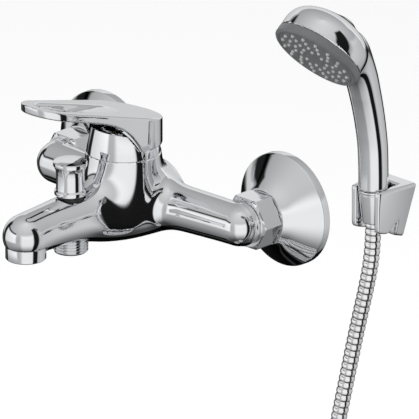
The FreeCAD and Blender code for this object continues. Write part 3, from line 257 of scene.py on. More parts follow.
def cap_faces(count, sides, first, last):
    """Three-sided faces that close the first and the last ring, each onto one point."""
    column = np.arange(sides)
    right = (column + 1) % sides
    top = (count - 1) * sides
    return (np.stack([right, column, first + 0 * column], 1).tolist()
            + np.stack([top + column, top + right, last + 0 * column], 1).tolist())


def turned(outline, sides, swell=None):
    """An outline turned about Z: its point (r, z) goes to (r cos a, r sin a, z) at each angle a.

    The outline runs anticlockwise about the solid's half section, with r to the right and z up. It is a
    closed ring clear of the axis, or it starts and ends on the axis. swell(r, a, z) may change r.
    """
    outline = np.array(outline, float)
    open_ended = outline[0, 0] < NEAR_ZERO
    rows = outline[1:-1] if open_ended else outline
    angle = np.linspace(0, 2 * math.pi, sides, endpoint=False)[None]
    radius, level = np.broadcast_arrays(rows[:, :1], rows[:, 1:] + 0 * angle)
    if swell:
        radius = swell(radius, angle + 0 * radius, level)
    points = np.stack([radius * np.cos(angle), radius * np.sin(angle), level], -1).reshape(-1, 3)
    faces = ring_faces(len(rows), sides, not open_ended)
    if open_ended:
        faces += cap_faces(len(rows), sides, len(points), len(points) + 1)
        points = np.vstack([points, [0, 0, outline[0, 1]], [0, 0, outline[-1, 1]]])
    return points, faces


def seated(points, at=(0, 0, 0), axis=(0, 0, 1)):
    """Points whose Z is turned to an axis in the YZ plane, and whose origin goes to a place."""
    way = np.array(axis, float) / np.linalg.norm(axis)
    side = np.array([1.0, 0, 0])
    return points @ np.stack([side, np.cross(way, side), way]) + np.array(at, float)


def hexagonal(flat):
    """A swell that makes a round outline hexagonal: at most flat / cos(angle from the flat's middle)."""
    corner_round = 0.35

    def swell(radius, angle, level):
        from_middle = np.mod(angle, math.pi / 3) - math.pi / 6
        return smooth_min(radius, flat / np.cos(from_middle), corner_round)
    return swell


# Pieces

def placed(name, data):
    """A new object for a mesh, a lamp or a camera, in the scene's collection."""
    thing = bpy.data.objects.new(name, data)
    bpy.context.collection.objects.link(thing)
    return thing


def show(name, points, faces, nodes, slot, body="root", sharp=35):
    """A smooth mesh piece that stands for frame nodes, takes a slot's finish and rides on a body."""
    mesh = bpy.data.meshes.new(name)
    mesh.from_pydata((np.asarray(points) * MM).tolist(), [], [list(map(int, f)) for f in faces])
    mesh.polygons.foreach_set("use_smooth", np.ones(len(mesh.polygons), bool))
    mesh.set_sharp_from_angle(angle=math.radians(sharp))
    mesh.update()
    mesh.materials.append(finish(slot))
    thing = placed(name, mesh)
    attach(thing, body)
    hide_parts(*([nodes] if isinstance(nodes, str) else nodes))
    return thing


def lathed(name, outline, nodes, slot, body="root", at=(0, 0, 0), axis=(0, 0, 1), sides=128, ease=0.3,
           swell=None):
    """A turned piece: its outline with eased corners, seated at a place along an axis."""
    points, faces = turned(eased(outline, ease), sides, swell)
    return show(name, seated(points, at, axis), faces, nodes, slot, body)


# Finishes

def wired(owner, kind, **settings):
    """A node of a material or a world, with its inputs or properties set by name."""
    node = owner.node_tree.nodes.new(kind)
    for name, value in settings.items():
        label = name.replace("_", " ")
        socket = next((s for s in node.inputs if s.name.lower() == label), None)
        if socket is None:
            setattr(node, name, value)
        elif isinstance(value, bpy.types.NodeSocket):
            owner.node_tree.links.new(value, socket)
        else:
            socket.default_value = value
    return node


def maths(owner, operation, *values):
    """What a maths node of a material or a world makes of numbers and of other nodes' outputs."""
    node = owner.node_tree.nodes.new("ShaderNodeMath")
    node.operation = operation
    for socket, value in zip(node.inputs, values):
        if isinstance(value, bpy.types.NodeSocket):
            owner.node_tree.links.new(value, socket)
        else:
            socket.default_value = value
    return node.outputs[0]


def blotches(material, place, scale, low, high, detail=3.0):
    """A value that drifts between low and high with a noise of this scale per metre."""
    noise = wired(material, "ShaderNodeTexNoise", vector=place, scale=scale, detail=detail)
    spread = wired(material, "ShaderNodeMapRange", value=noise.outputs["Fac"], from_min=0.3, from_max=0.7,
                   to_min=low, to_max=high)
    return spread.outputs["Result"]


def tinted(material, place, scale, dark, light):
    """A colour that drifts between two with a noise of this scale per metre."""
    ramp = wired(material, "ShaderNodeValToRGB", fac=blotches(material, place, scale, 0, 1))
    ramp.color_ramp.elements[0].color = (*dark, 1)
    ramp.color_ramp.elements[1].color = (*light, 1)
    return ramp.outputs["Color"]


def grained(name, dark, light, smooth, rough, hue_scale, gloss_scale, grain, relief, detail):
    """A material and its shader, whose colour, gloss and relief drift, each with noise of its own scale."""
    material = bpy.data.materials.new(name)
    material.use_nodes = True
    shader = material.node_tree.nodes["Principled BSDF"]
    place = wired(material, "ShaderNodeTexCoord").outputs["Object"]
    link = material.node_tree.links.new
    link(tinted(material, place, hue_scale, dark, light), shader.inputs["Base Color"])
    link(blotches(material, place, gloss_scale, smooth, rough), shader.inputs["Roughness"])
    if relief:
        fine = blotches(material, place, grain, 0, 1, detail)
        bump = wired(material, "ShaderNodeBump", height=fine, distance=relief, strength=1.0)
        link(bump.outputs["Normal"], shader.inputs["Normal"])
    return material, shader


def metal(name, dark, light, smooth, rough, grain=900, relief=0.0):
    """A bare or plated metal, whose colour and gloss drift a little."""
    material, shader = grained(name, dark, light, smooth, rough, 35, grain, grain, relief, 3.0)
    shader.inputs["Metallic"].default_value = 1
    return material


def plastic(name, dark, light, smooth, rough, grain, relief):
    """A moulded plastic or rubber: a fine grain in its gloss and in its relief."""
    material, shader = grained(name, dark, light, smooth, rough, 60, grain / 3, grain, relief, 2.0)
    shader.inputs["IOR"].default_value = 1.48
    return material


def shades(colour, dark, light):
    """A darker and a lighter shade of a colour, each its share of it."""
    return [tuple(c * share for c in colour) for share in (dark, light)]


def finish(slot):
    """The material of one of the record's slots, made the first time that it is asked for."""
    name = slot.replace("_", " ").capitalize()
    if name in bpy.data.materials:
        return bpy.data.materials[name]
    looks = bpy.context.scene.mixer_finishes
    metals = {
        "chrome": (*shades(looks.chrome, 0.96, 1), 0.025, 0.05),
        "hose_steel": (*shades(looks.hose, 0.9, 1), 0.1, 0.17),
        "brass": ((0.55, 0.38, 0.15), (0.68, 0.49, 0.22), 0.22, 0.38, 1500, 0.00001),
        "steel": ((0.5, 0.5, 0.5), (0.6, 0.6, 0.59), 0.2, 0.34, 1800, 0.00001)}
    plastics = {
        "ceramic": ((0.78, 0.77, 0.72), (0.86, 0.85, 0.81), 0.12, 0.2, 2500, 0.000004),
        "grey_plastic": (*shades(looks.spray_face, 0.92, 1.04), 0.34, 0.46, 5200, 0.000012),
        "nozzle_rubber": ((0.56, 0.57, 0.57), (0.66, 0.67, 0.67), 0.42, 0.55, 6000, 0.00001)}
    moulded = {"rubber": (0.022, 0.022, 0.024), "dark_plastic": looks.bonnet,
               "inner_plastic": (0.7, 0.7, 0.68), "plug_plastic": (0.34, 0.35, 0.36),
               "tie_plastic": (0.03, 0.03, 0.032)}
    if slot in metals:
        return metal(name, *metals[slot])
    if slot in moulded:
        return plastic(name, *shades(moulded[slot], 0.85, 1.1), 0.38, 0.52, 4000, 0.00001)
    return plastic(name, *plastics[slot])


# Settings that a user may change

def length(name, description, default):
    """A length property: its default is given in millimetres and kept in metres."""
    return bpy.props.FloatProperty(name=name, description=description, default=default * MM, min=0.0,
                                   unit="LENGTH", precision=4)


def tint(name, description, default):
    """A colour property."""
    return bpy.props.FloatVectorProperty(name=name, description=description, default=default,
                                         subtype="COLOR", min=0, max=1)


def angle(name, description, default):
    """An angle property: its default is given in degrees and kept in radians."""
    return bpy.props.FloatProperty(name=name, description=description, default=math.radians(default),
                                   subtype="ANGLE")


def power(name, description, default):
    """A lamp's power, in watts."""
    return bpy.props.FloatProperty(name=name, description=description, default=default, unit="POWER")


class MixerSizes(bpy.types.PropertyGroup):
    """Roundings and fine forms that the frame's plain solids leave out."""

    cell: length("Mesh cell", "Spacing of the points on the free-form pieces", 0.9)
    arm_fillet: length("Arm fillet", "Rounding where the arms run into the tower", 5)
    spout_fillet: length("Spout fillet", "Rounding where the spout runs into the tower", 9)
    neck_fillet: length("Neck fillet", "Rounding where the shower's handle runs into its head", 7)
    cast_edge: length("Casting edge", "Rounding of the casting's machined edges", 0.5)
    lever_edge: length("Lever edge", "Rounding of the lever's edges", 0.7)
    bracket_edge: length("Bracket edge", "Rounding of the bracket's edges", 1.1)
    thread_pitch: length("Thread pitch", "Pitch of the shower outlet's thread", 1.814)
    thread_depth: length("Thread depth", "Depth of the shower outlet's thread", 1.0)
    rib_pitch: length("Rib pitch", "Distance between the hose's ribs", 4.1)
    rib_depth: length("Rib depth", "Depth of the grooves between the hose's ribs", 0.55)


class MixerFinishes(bpy.types.PropertyGroup):
    """Colours of the finishes."""

    chrome: tint("Chrome", "Colour of the chrome plate", (0.83, 0.84, 0.86))
    hose: tint("Hose", "Colour of the hose's steel strip", (0.92, 0.92, 0.93))
    spray_face: tint("Spray face", "Colour of the plastic round the nozzles", (0.17, 0.175, 0.18))
    bonnet: tint("Bonnet", "Colour of the plastic ring under the diverter knob", (0.03, 0.03, 0.032))


class MixerStudio(bpy.types.PropertyGroup):
    """The camera, the lamps and the floor."""

    azimuth: angle("Azimuth", "Angle of the camera round the mixer, from the front", 44.73)
    elevation: angle("Elevation", "Angle of the camera above the level", 20.47)
    distance: length("Camera distance", "Distance of the camera from its aim", 10000)
    view_width: length("View width", "Width of the picture at the aim", 246.5)
    aim_right: length("Aim right", "How far the aim lies right of the origin in the picture", 7.07)
    aim_down: length("Aim down", "How far the aim lies below the origin in the picture", 19.7)
    floor_level: length("Floor depth", "How far the floor lies below the inlets", 300)
    key_power: power("Key power", "Power of the large lamp at the left", 9)
    fill_power: power("Fill power", "Power of the lamp at the right", 4)


# The studio

def camera_axes(studio):
    """The camera's right, up and backward directions from its azimuth and elevation."""
    turn, rise = studio.azimuth, studio.elevation
    right = Vector((math.cos(turn), math.sin(turn), 0))
    back = Vector((math.sin(turn) * math.cos(rise), -math.cos(turn) * math.cos(rise), math.sin(rise)))
    return right, back.cross(right), back


def place_camera(studio):
    """The scene's camera: its lens shows the view's width at the aim, whatever its distance."""
    right, up, back = camera_axes(studio)
    aim = right * studio.aim_right - up * studio.aim_down
    data = bpy.data.cameras.new("camera")
    data.sensor_width = 36
    data.lens = data.sensor_width * studio.distance / studio.view_width
    data.clip_end = 100
    camera = placed("camera", data)
    turn = Matrix((right, up, back)).transposed()
    camera.matrix_world = Matrix.Translation(aim + back * studio.distance) @ turn.to_4x4()
    bpy.context.scene.camera = camera


def lamp(name, place, aim, width, height, watts):
    """A rectangular lamp that faces a point and isn't mirrored in the chrome."""
    data = bpy.data.lights.new(name, "AREA")
    data.shape = "RECTANGLE"
    data.size, data.size_y, data.energy = width, height, watts
    thing = placed(name, data)
    thing.visible_glossy = False
    turn = (place - aim).to_track_quat("Z", "Y").to_matrix()
    thing.matrix_world = Matrix.Translation(place) @ turn.to_4x4()


# Each panel of the studio: its bearing from the front and half its width, its lowest and highest elevation
# and the softness of its edge, all in degrees, and how much darker or brighter than the room it is
PANELS = ((-135, 34, -90, -16, 8, 0.02), (-84, 7, -90, 30, 6, 0.04), (100, 11, -90, 45, 6, 0.02),
          (-50, 40, 21, 23, 4, 0.1), (54, 24, -60, 10, 18, 1.8), (-40, 30, -14, 12, 10, 2.2),
          (-142, 40, -8, 24, 6, 2.2), (150, 24, -50, 10, 10, 1.5))


def studio_light(world):
    """A white room for the eye, and for the chrome a grey one with dark and bright panels.

    Its grey is level + swing cos(bearing - bright side) + lift rise, where the rise counts above the level
    only. Each panel multiplies that by its factor, and far below the level it falls to a small share.
    """
    level, swing, lift, bright_side = 0.42, 0.12, 0.2, 50
    lowest, low_start, low_end = 0.12, -70, -22
    matt_level = 0.5
    world.use_nodes = True
    world.node_tree.nodes.clear()

    def sums(operation, *values):
        return maths(world, operation, *values)

    def step(value, start, end, low=0.0, high=1.0):
        """A smooth change from low to high between two angles, in degrees."""
        return wired(world, "ShaderNodeMapRange", interpolation_type="SMOOTHSTEP", value=value,
                     from_min=math.radians(start), from_max=math.radians(end),
                     to_min=low, to_max=high).outputs["Result"]

    way = wired(world, "ShaderNodeTexCoord").outputs["Generated"]
    x, y, z = wired(world, "ShaderNodeSeparateXYZ", vector=way).outputs
    bearing = sums("ARCTAN2", x, sums("MULTIPLY", y, -1.0))
    rise = sums("ARCSINE", z)
    facing = sums("COSINE", sums("SUBTRACT", bearing, math.radians(bright_side)))
    grey = sums("MULTIPLY_ADD", facing, swing, level)
    grey = sums("MULTIPLY_ADD", sums("MAXIMUM", rise, 0.0), lift, grey)
    for degrees, half, low, high, soft, factor in PANELS:
        aside = sums("SUBTRACT", bearing, math.radians(degrees))
        aside = sums("ABSOLUTE", sums("WRAP", aside, math.pi, -math.pi))
        upward = sums("SUBTRACT", rise, math.radians((low + high) / 2))
        upward = sums("ABSOLUTE", upward)
        tall = (high - low) / 2
        clear = sums("MAXIMUM", step(aside, half, half + soft), step(upward, tall, tall + soft))
        grey = sums("MULTIPLY", grey, sums("MULTIPLY_ADD", clear, 1 - factor, factor))
    shade = sums("MULTIPLY", grey, step(rise, low_start, low_end, lowest, 1.0))
    path = wired(world, "ShaderNodeLightPath").outputs
    seen = sums("MAXIMUM", path["Is Camera Ray"], path["Is Transmission Ray"])
    mirrored = path["Is Glossy Ray"]
    matt = sums("MULTIPLY", sums("SUBTRACT", 1.0, mirrored), matt_level)
    room = sums("ADD", sums("MULTIPLY", mirrored, shade), matt)
    back = wired(world, "ShaderNodeBackground", color=(1.0, 1.0, 1.0, 1.0),
                 strength=sums("MAXIMUM", room, seen))
    wired(world, "ShaderNodeOutputWorld", surface=back.outputs[0])


def lay_floor(depth):
    """A pale round floor with a glow for the eye, which adds up to white where nothing shades it."""
    wide, thick, glow_strength = 1600, 6, 0.45
    points, faces = turned([(0, -thick), (wide, -thick), (wide, 0), (0, 0)], 96)
    mesh = bpy.data.meshes.new("floor")
    mesh.from_pydata(((points + np.array([0, 0, -depth / MM])) * MM).tolist(), [], faces)
    material = bpy.data.materials.new("Studio floor")
    material.use_nodes = True
    nodes, link = material.node_tree.nodes, material.node_tree.links.new
    shader = nodes["Principled BSDF"]
    shader.inputs["Roughness"].default_value = 0.7
    shader.inputs["Base Color"].default_value = (0.82, 0.82, 0.82, 1)
    path = wired(material, "ShaderNodeLightPath").outputs
    seen = maths(material, "MAXIMUM", path["Is Camera Ray"], path["Is Transmission Ray"])
    glow = wired(material, "ShaderNodeEmission", strength=maths(material, "MULTIPLY", seen, glow_strength))
    both = wired(material, "ShaderNodeAddShader")
    link(shader.outputs[0], both.inputs[0])
    link(glow.outputs[0], both.inputs[1])
    link(both.outputs[0], nodes["Material Output"].inputs["Surface"])
    mesh.materials.append(material)
    floor = placed("floor", mesh)
    floor.visible_glossy = False


# Turned pieces

def make_inlets():
    """Rosettes and union nuts, turned about the inlets' axes, which face out of the wall."""
    into_room = (0, -1, 0)
    wall, rim, lip, seat = 1.4, 5.6, 3.4, 2.6
    for side, x in (("left", -INLET), ("right", INLET)):
        low, high = span(f"rosette_{side}")
        radius, deep = (high[0] - low[0]) / 2, -low[1]
        neck = 0.5 * radius
        flare = curve_through([(0.98 * radius, rim + 0.1), (0.66 * radius, rim + 0.62 * (deep - rim)),
                               (neck, deep)], 8)
        inner = [(neck - lip, deep), (neck - lip, deep - wall), (neck - wall, deep - 2 * wall),
                 (radius - 2 * wall, rim - wall), (radius - wall, 0)]
        outline = np.vstack([[(radius, 0), (radius, rim - 0.6)], flare, inner])
        lathed(f"{side}_rosette", outline, f"rosette_{side}", "chrome", at=(x, 0, 0), axis=into_room,
               ease=0.45, sides=160)
        low, high = span(f"union_nut_{side}")
        long, flat = high[1] - low[1], (high[2] - low[2]) / 2
        corner = (high[0] - low[0]) / 2
        bevel, ring = 0.42 * (corner - flat), flat - 0.35
        mouth, throat = 0.87 * flat, 0.72 * flat
        outline = [(mouth, 0), (ring, 0), (corner, bevel), (corner, long - bevel), (ring, long),
                   (throat, long), (throat, long - seat), (mouth, long - seat)]
        lathed(f"{side}_union_nut", outline, f"union_nut_{side}", "chrome", at=(x, high[1], 0),
               axis=into_room, ease=0.35, sides=144, swell=hexagonal(flat))


def make_cover():
    """The cover: a foot that tapers from the tower, a wall, and a sloping lid with the stem's hole.

    Above the foot, a point's height is stretched so that the top follows the plane
    back + (front - back) (1 - y / radius) / 2.
    """
    low, high = COVER_LOW[2], COVER_HIGH[2]
    back, wall, taper = 7.9, 1.4, 4.7
    front = high - low
    waist, rim, hole = TOWER_RADIUS - 1, TOWER_RADIUS - 3.4, 11.5
    outline = eased([(TOWER_RADIUS, 0), (waist, taper), (rim, front), (hole, front), (hole, front - wall),
                     (rim - wall, front - wall), (waist - wall, taper), (waist - wall, 0)], 0.3)
    outline[:, 0] = np.minimum(outline[:, 0], TOWER_RADIUS)
    points, faces = turned(outline, 160)
    forward = 0.5 - 0.5 * points[:, 1] / TOWER_RADIUS
    top = back + (front - back) * forward
    share = np.clip((points[:, 2] - taper) / (front - taper), 0, 1)
    points[:, 2] = np.where(points[:, 2] > taper, taper + share * (top - taper), points[:, 2])
    show("lever_cover", points + np.array([0, TOWER_Y, low]), faces, "cartridge_cover", "chrome")


def make_diverter():
    """The pull knob, with its foot ring, waist and domed rim, and the dark ring that it stands over."""
    foot_level, wide, tall = upright_size("diverter_knob")
    foot, waist = 0.93 * wide, 0.83 * wide
    outline = np.vstack([
        [(0, 0), (foot, 0), (foot, 2.4)],
        [(waist, 3.3), (waist, 0.55 * tall)],
        curve_through([(waist, 0.6 * tall), (waist + 0.35, 0.72 * tall), (wide - 0.5, 0.825 * tall)], 6),
        [(wide, 0.85 * tall), (wide, 0.955 * tall)],
        curve_through([(0.93 * wide, 0.972 * tall), (0.6 * wide, 0.99 * tall),
                       (0.25 * wide, 0.998 * tall)], 6),
        [(0, tall)]])
    lathed("pull_knob", outline, "diverter_knob", "chrome", "diverter", at=(0, DIVERTER_Y, foot_level),
           ease=0.35)
    foot_level, wide, tall = upright_size("diverter_bonnet")
    bore_radius, neck, flange = 2.6, wide - 1.5, tall - 4
    outline = [(bore_radius, 0), (neck, 0), (neck, flange), (wide, flange), (wide, tall - 0.8),
               (wide - 0.6, tall), (bore_radius, tall)]
    lathed("knob_bonnet", outline, "diverter_bonnet", "dark_plastic", at=(0, DIVERTER_Y, foot_level))


def make_outlet():
    """The shower outlet's nipple: r loses depth (1 + cos(2 pi (z / pitch - a / turn))) / 2 along its thread.

    A power of that wave makes the thread's crests broad and its roots narrow.
    """
    sizes = bpy.context.scene.mixer_sizes
    pitch, depth = sizes.thread_pitch / MM, sizes.thread_depth / MM
    foot_level, wide, tall = upright_size("shower_outlet_nipple")
    bore_radius, lead, rounding = 6.4, 0.9, 0.4
    side = np.linspace(lead, tall, 90)
    outline = np.vstack([[(bore_radius, rounding), (bore_radius + rounding, 0), (wide - lead, 0)],
                         np.stack([np.full(len(side), wide), side], 1), [(bore_radius, tall)]])

    def thread(radius, angle, level):
        wave = 0.5 + 0.5 * np.cos(2 * math.pi * (level / pitch - angle / (2 * math.pi)))
        return np.where(radius > wide - 0.01, radius - depth * wave ** 1.5, radius)

    points, faces = turned(outline, 144, thread)
    points = seated(points, (0, DIVERTER_Y, foot_level))
    show("shower_outlet", points, faces, "shower_outlet_nipple", "chrome")


def make_aerator():
    """The aerator's ring: a lip at its mouth, a wall up to the spout's flat, and a neck inside the spout."""
    foot_level, wide, tall = upright_size("aerator_housing")
    flat = NOSE_FLAT - foot_level
    mouth, neck, bore_radius, lip, edge = 0.72 * wide, 0.87 * wide, 0.74 * wide, 1.2, 0.5
    outline = [(mouth, 0), (wide - edge, 0), (wide, edge), (wide, flat), (neck, flat), (neck, tall),
               (bore_radius, tall), (bore_radius, lip), (mouth, lip)]
    lathed("aerator_ring", outline, "aerator_housing", "chrome", at=(0, NOSE_Y, foot_level))


def make_cone_nut():
    """The nut in the bracket: a cone with a groove below its rim."""
    foot_level, wide, tall = upright_size("hose_cone_nut")
    slim, bore_radius, groove = 6.75, 4.6, wide - 0.45
    outline = [(bore_radius, 0), (slim - 0.5, 0), (slim, 0.6), (wide - 0.18, tall - 2.6),
               (groove, tall - 2.2), (groove, tall - 1.5), (wide, tall - 1.2), (wide, tall),
               (bore_radius, tall)]
    lathed("handset_nut", outline, "hose_cone_nut", "chrome", "hose", at=(SHOWER_X, SHOWER_Y, foot_level))


def make_end_nut():
    """The hexagon nut on the hose's far end, with a neck that the hose goes into."""
    low, high = span("hose_end_nut")
    x, y = middle("hose_end_nut")[:2]
    foot_level, corner, tall = upright_size("hose_end_nut")
    flat = (high[1] - low[1]) / 2
    hexagon, ring, mouth = 0.55 * tall, flat - 0.4, 0.84 * flat
    neck, bevel, wall = 6.4, 0.8, 1.4
    outline = [(mouth, 0), (ring, 0), (corner, bevel), (corner, hexagon - bevel), (ring, hexagon),
               (0.8 * flat, hexagon + 1.5), (neck, tall - 3), (neck, tall), (neck - wall, tall),
               (neck - wall, hexagon), (mouth, hexagon - 2)]
    lathed("hose_nut", outline, "hose_end_nut", "chrome", "hose", at=(x, y, foot_level), sides=144,
           swell=hexagonal(flat))


# Free-form pieces

def casting_field(p, sizes):
    """The casting: a bowl-ended tower, two arms with ball elbows and a ball-nosed spout, less its hollows.

    An arm is hypot(y + forward, z) - radius, where both grow with a power of the nearness to the tower. The
    spout's centre and radius follow a smooth line through a few sections, and its nose is that line's last
    ball. A hollow is a row of its Y, its radius and its lowest and highest level.
    """
    x, y, z = p[..., 0], p[..., 1], p[..., 2]
    side = np.abs(x)
    edge = sizes.cast_edge / MM
    shoulder, bowl, elbow_forward, elbow_radius = -4, 12.5, 41, 12.6
    collar_radius, collar_back, nut_radius, nut_face = 13, 0.4, 18.1, 36.6
    nose_radius, nose_side = 12.3, 14
    open_top = TOWER_TOP + 5

    bottom = np.minimum(z - shoulder, 0)
    around = np.hypot(x, y - TOWER_Y)
    near = np.sqrt((around / TOWER_RADIUS) ** 2 + (bottom / bowl) ** 2)
    steep = np.sqrt((around / TOWER_RADIUS ** 2) ** 2 + (bottom / bowl ** 2) ** 2)
    tower = near * (near - 1) / np.maximum(steep, NEAR_ZERO)

    share = 1 - np.clip(side / INLET, 0, 1)
    radius = elbow_radius + 2 * share ** 1.5
    forward = elbow_forward + 6 * share ** 1.2
    arms = np.sqrt(np.maximum(side - INLET, 0) ** 2 + (y + forward) ** 2 + z ** 2) - radius
    from_inlet = np.hypot(side - INLET, z)
    collar = smooth_max(from_inlet - collar_radius, -elbow_forward - collar_back - y, edge)

    nose = -NOSE_Y
    line = curve_through([(-TOWER_Y, 0, 17), (83.5, 0.47, 15.9), (-DIVERTER_Y, 1.4, 14.8), (128.5, 1.4, 13.3),
                          (nose, 0, 13.6)], 40)
    along = np.clip(-y, line[0, 0], nose)
    centre, wide = np.interp(along, line[:, 0], line[:, 1]), np.interp(along, line[:, 0], line[:, 2])
    spout = np.sqrt(x ** 2 + (z - centre) ** 2 + np.maximum(-y - nose, 0) ** 2) - wide

    form = smooth_min(arms, collar, 0.6)
    form = smooth_min(smooth_min(tower, spout, 2.2 * sizes.spout_fillet / MM), form,
                      2.2 * sizes.arm_fillet / MM)
    form = smooth_max(form, z - TOWER_TOP, edge)
    form = smooth_max(form, -smooth_max(from_inlet - nut_radius, -nut_face - y, edge), edge)
    under_nose = np.minimum(np.hypot(x, y - NOSE_Y) - nose_radius, np.maximum(y - NOSE_Y, side - nose_side))
    form = smooth_max(form, -smooth_max(under_nose, z - NOSE_FLAT, edge), edge)
    for hollow in ((TOWER_Y, 18, 3, open_top), (TOWER_Y, 19.7, 29.5, open_top), (DIVERTER_Y, 6.7, -8, 20),
                   (DIVERTER_Y, 8.4, -8, 6), (DIVERTER_Y, 8.3, 12.2, 20), (DIVERTER_Y, 6.4, -12, -6),
                   (DIVERTER_Y, 10.6, -30, -9.4), (NOSE_Y, 10.5, -10, 2)):
        form = smooth_max(form, -bore(p, *hollow), edge)
    return form


def lever_top(forward):
    """Level of the lever's sloping top, this far forward of the tower's axis."""
    return 58.1 + math.tan(LEVER_SLOPE) * forward


def lever_field(p, sizes):
    """The lever: a pear from above between its sloping top and a swept underside, less its room and its loop.

    The sweep is the blade's underside and the steep front of the skirt, rounded into each other. The loop is
    a second pear, over a ramp that starts at the top near the cap and runs out through the underside. The
    room takes the cover's rim and leaves a boss round the stem's socket.
    """
    x, z = p[..., 0], p[..., 2]
    forward = TOWER_Y - p[..., 1]
    edge = sizes.lever_edge / MM
    upright = math.cos(LEVER_SLOPE)
    blade, skirt_low, skirt_foot, skirt_lean, sweep_round = 5, 38.2, 6.44, 0.491, 17
    boss_radius, boss_low, room_radius, lid = 8, 49, 21.9, 4
    ramp_start, ramp_fall, loop_start, loop_round = 5.6, 0.163, 14.56, 4
    socket_radius, socket_top = 3.05, 53

    depth = (lever_top(forward) - z) * upright
    plan = pear(x, forward, 23, 17, 60)
    under_blade = (lever_top(forward) - blade / upright - z) * upright
    before_skirt = (forward - skirt_foot - skirt_lean * (z - skirt_low)) / math.hypot(1, skirt_lean)
    sweep = smooth_min(under_blade, before_skirt, sweep_round)
    form = smooth_max(smooth_max(plan, -depth, 1.6 * edge), sweep, edge)
    form = smooth_max(form, skirt_low - z, 0.6 * edge)

    around = np.hypot(x, forward)
    boss = np.maximum(around - boss_radius, boss_low - z)
    room = smooth_max(around - room_radius, lid - depth, edge)
    room = smooth_max(room, -boss, 0.5)
    ramp_slope = math.tan(LEVER_SLOPE) - ramp_fall
    ramp = (lever_top(ramp_start) + ramp_slope * (forward - ramp_start) - z) / math.hypot(1, ramp_slope)
    loop = smooth_max(pear(x, forward - loop_start, 8.96, 10.3, 44.14), ramp, loop_round)
    form = smooth_max(form, -room, 0.5)
    form = smooth_max(form, -loop, 2.4 * edge)
    return smooth_max(form, socket_radius - np.maximum(around, z - socket_top), 0.4)


def handset_field(p, sizes):
    """The hand shower's shell: a round handle along a leaning line, run into a dome about the head's axis.

    The handle's section at each level is squeezed by the cosine of its lean, so that it is round across its
    own line. The dome is (r / radius) ^ flank + (depth / deep) ^ crown = 1, divided by how fast that grows.
    Each row of the line holds its shares of the reach and of the rise, and how much wider the handle is.
    """
    x, y, z = p[..., 0] - SHOWER_X, p[..., 1], p[..., 2]
    reach, rise, foot, slim = 48.9, 92.7, 41, 8.8
    line = curve_through([(0, 0, 0), (0, 0.13, 0), (0.012, 0.28, 0.05), (0.042, 0.40, 0.15),
                          (0.085, 0.52, 0.3), (0.14, 0.64, 0.5), (0.22, 0.78, 0.9), (0.345, 0.92, 1.5),
                          (0.505, 1.035, 2.0), (0.67, 1.12, 0)], 30)
    level, back, wide = foot + line[:, 1] * rise, line[:, 0] * reach - SHOWER_Y, slim + line[:, 2]
    lean = np.gradient(back, level)
    at = np.clip(z, level[0] - 20, level[-1])
    squeeze = 1 / np.sqrt(1 + np.interp(at, level, lean) ** 2)
    handle = np.sqrt(x ** 2 + ((y + np.interp(at, level, back)) * squeeze) ** 2
                     + np.maximum(z - level[-1], 0) ** 2) - np.interp(at, level, wide)

    radius, deep, band, flank, crown = 27.2, 22.8, 5.5, 1.6, 3.6
    out = HEAD_WAY[1] * (y - HEAD_AT[1]) + HEAD_WAY[2] * (z - HEAD_AT[2])
    up = -HEAD_WAY[2] * (y - HEAD_AT[1]) + HEAD_WAY[1] * (z - HEAD_AT[2])
    r = np.sqrt(x ** 2 + up ** 2 + 0.3) / radius
    h = np.maximum(-out - band, 0) / deep
    grows = np.hypot(flank * r ** (flank - 1) / radius, crown * h ** (crown - 1) / deep)
    dome = (r ** flank + h ** crown - 1) / np.maximum(grows, 0.02)
    dome = smooth_max(dome, out + band + 0.1, 0.4)
    form = smooth_min(handle, dome, sizes.neck_fillet / MM)
    return smooth_max(form, foot - z, 0.4)


def bracket_field(p, sizes):
    """The bracket: six faces that narrow towards the wall's foot, less the nut's seat and the channel.

    Its half width runs linearly between its four corners, and so does its lower face between wall and front.
    """
    x, y, z = p[..., 0] - SHOWER_X, p[..., 1], p[..., 2]
    edge = 1.6 * sizes.bracket_edge / MM
    low, high = span("wall_bracket")
    reach, top, toe = -low[1], high[2], low[2]
    half, wall_top, wall_foot, front_low = 11.35, 1.3, 0.32, 17.3
    seat_radius, seat_flare, seat_low, seat_tall = 7.05, 8.8 - 6.75, 20.6, 20.4
    slot_half, slot_back, sink_radius, sink_deep = 7.5, 8.6, 4.3, 5.2
    out = -y / reach
    spread = wall_top * half + (half - wall_top * half) * out
    narrow = wall_foot * half + (half - wall_foot * half) * out
    bottom = toe + (front_low - toe) * out
    slant = (spread - narrow) / (top - bottom)
    sides = (np.abs(x) - narrow - slant * (z - bottom)) / np.hypot(1, slant)
    under = (bottom - z) / math.hypot(1, (front_low - toe) / reach)
    form = smooth_max(smooth_max(sides, under, edge), z - top, edge)
    form = smooth_max(smooth_max(form, -reach - y, edge), y, 0.4)
    across = np.hypot(x, y - SHOWER_Y)
    seat = across - seat_radius - seat_flare * np.clip((z - seat_low) / seat_tall, 0, 1)
    channel = np.maximum(np.abs(x) - slot_half, y + slot_back)
    form = smooth_max(form, -smooth_min(seat, channel, 0.8), 0.8 * edge)
    for level in (top - 0.22 * (top - front_low), front_low + 0.1 * (top - front_low)):
        sink = np.maximum(np.hypot(x, z - level) - sink_radius, y + sink_deep)
        form = smooth_max(form, -sink, 0.4)
    return form


def make_free_form(name, field, node, cell_share, body="root"):
    """A chrome piece grown over its node's box from its field."""
    sizes = bpy.context.scene.mixer_sizes
    low, high = span(node)
    points, faces = skin(lambda p: field(p, sizes), low - 1, high + 1, cell_share * sizes.cell / MM)
    return show(name, np.clip(points, low, high), faces, node, "chrome", body, 50)


# The shower's face

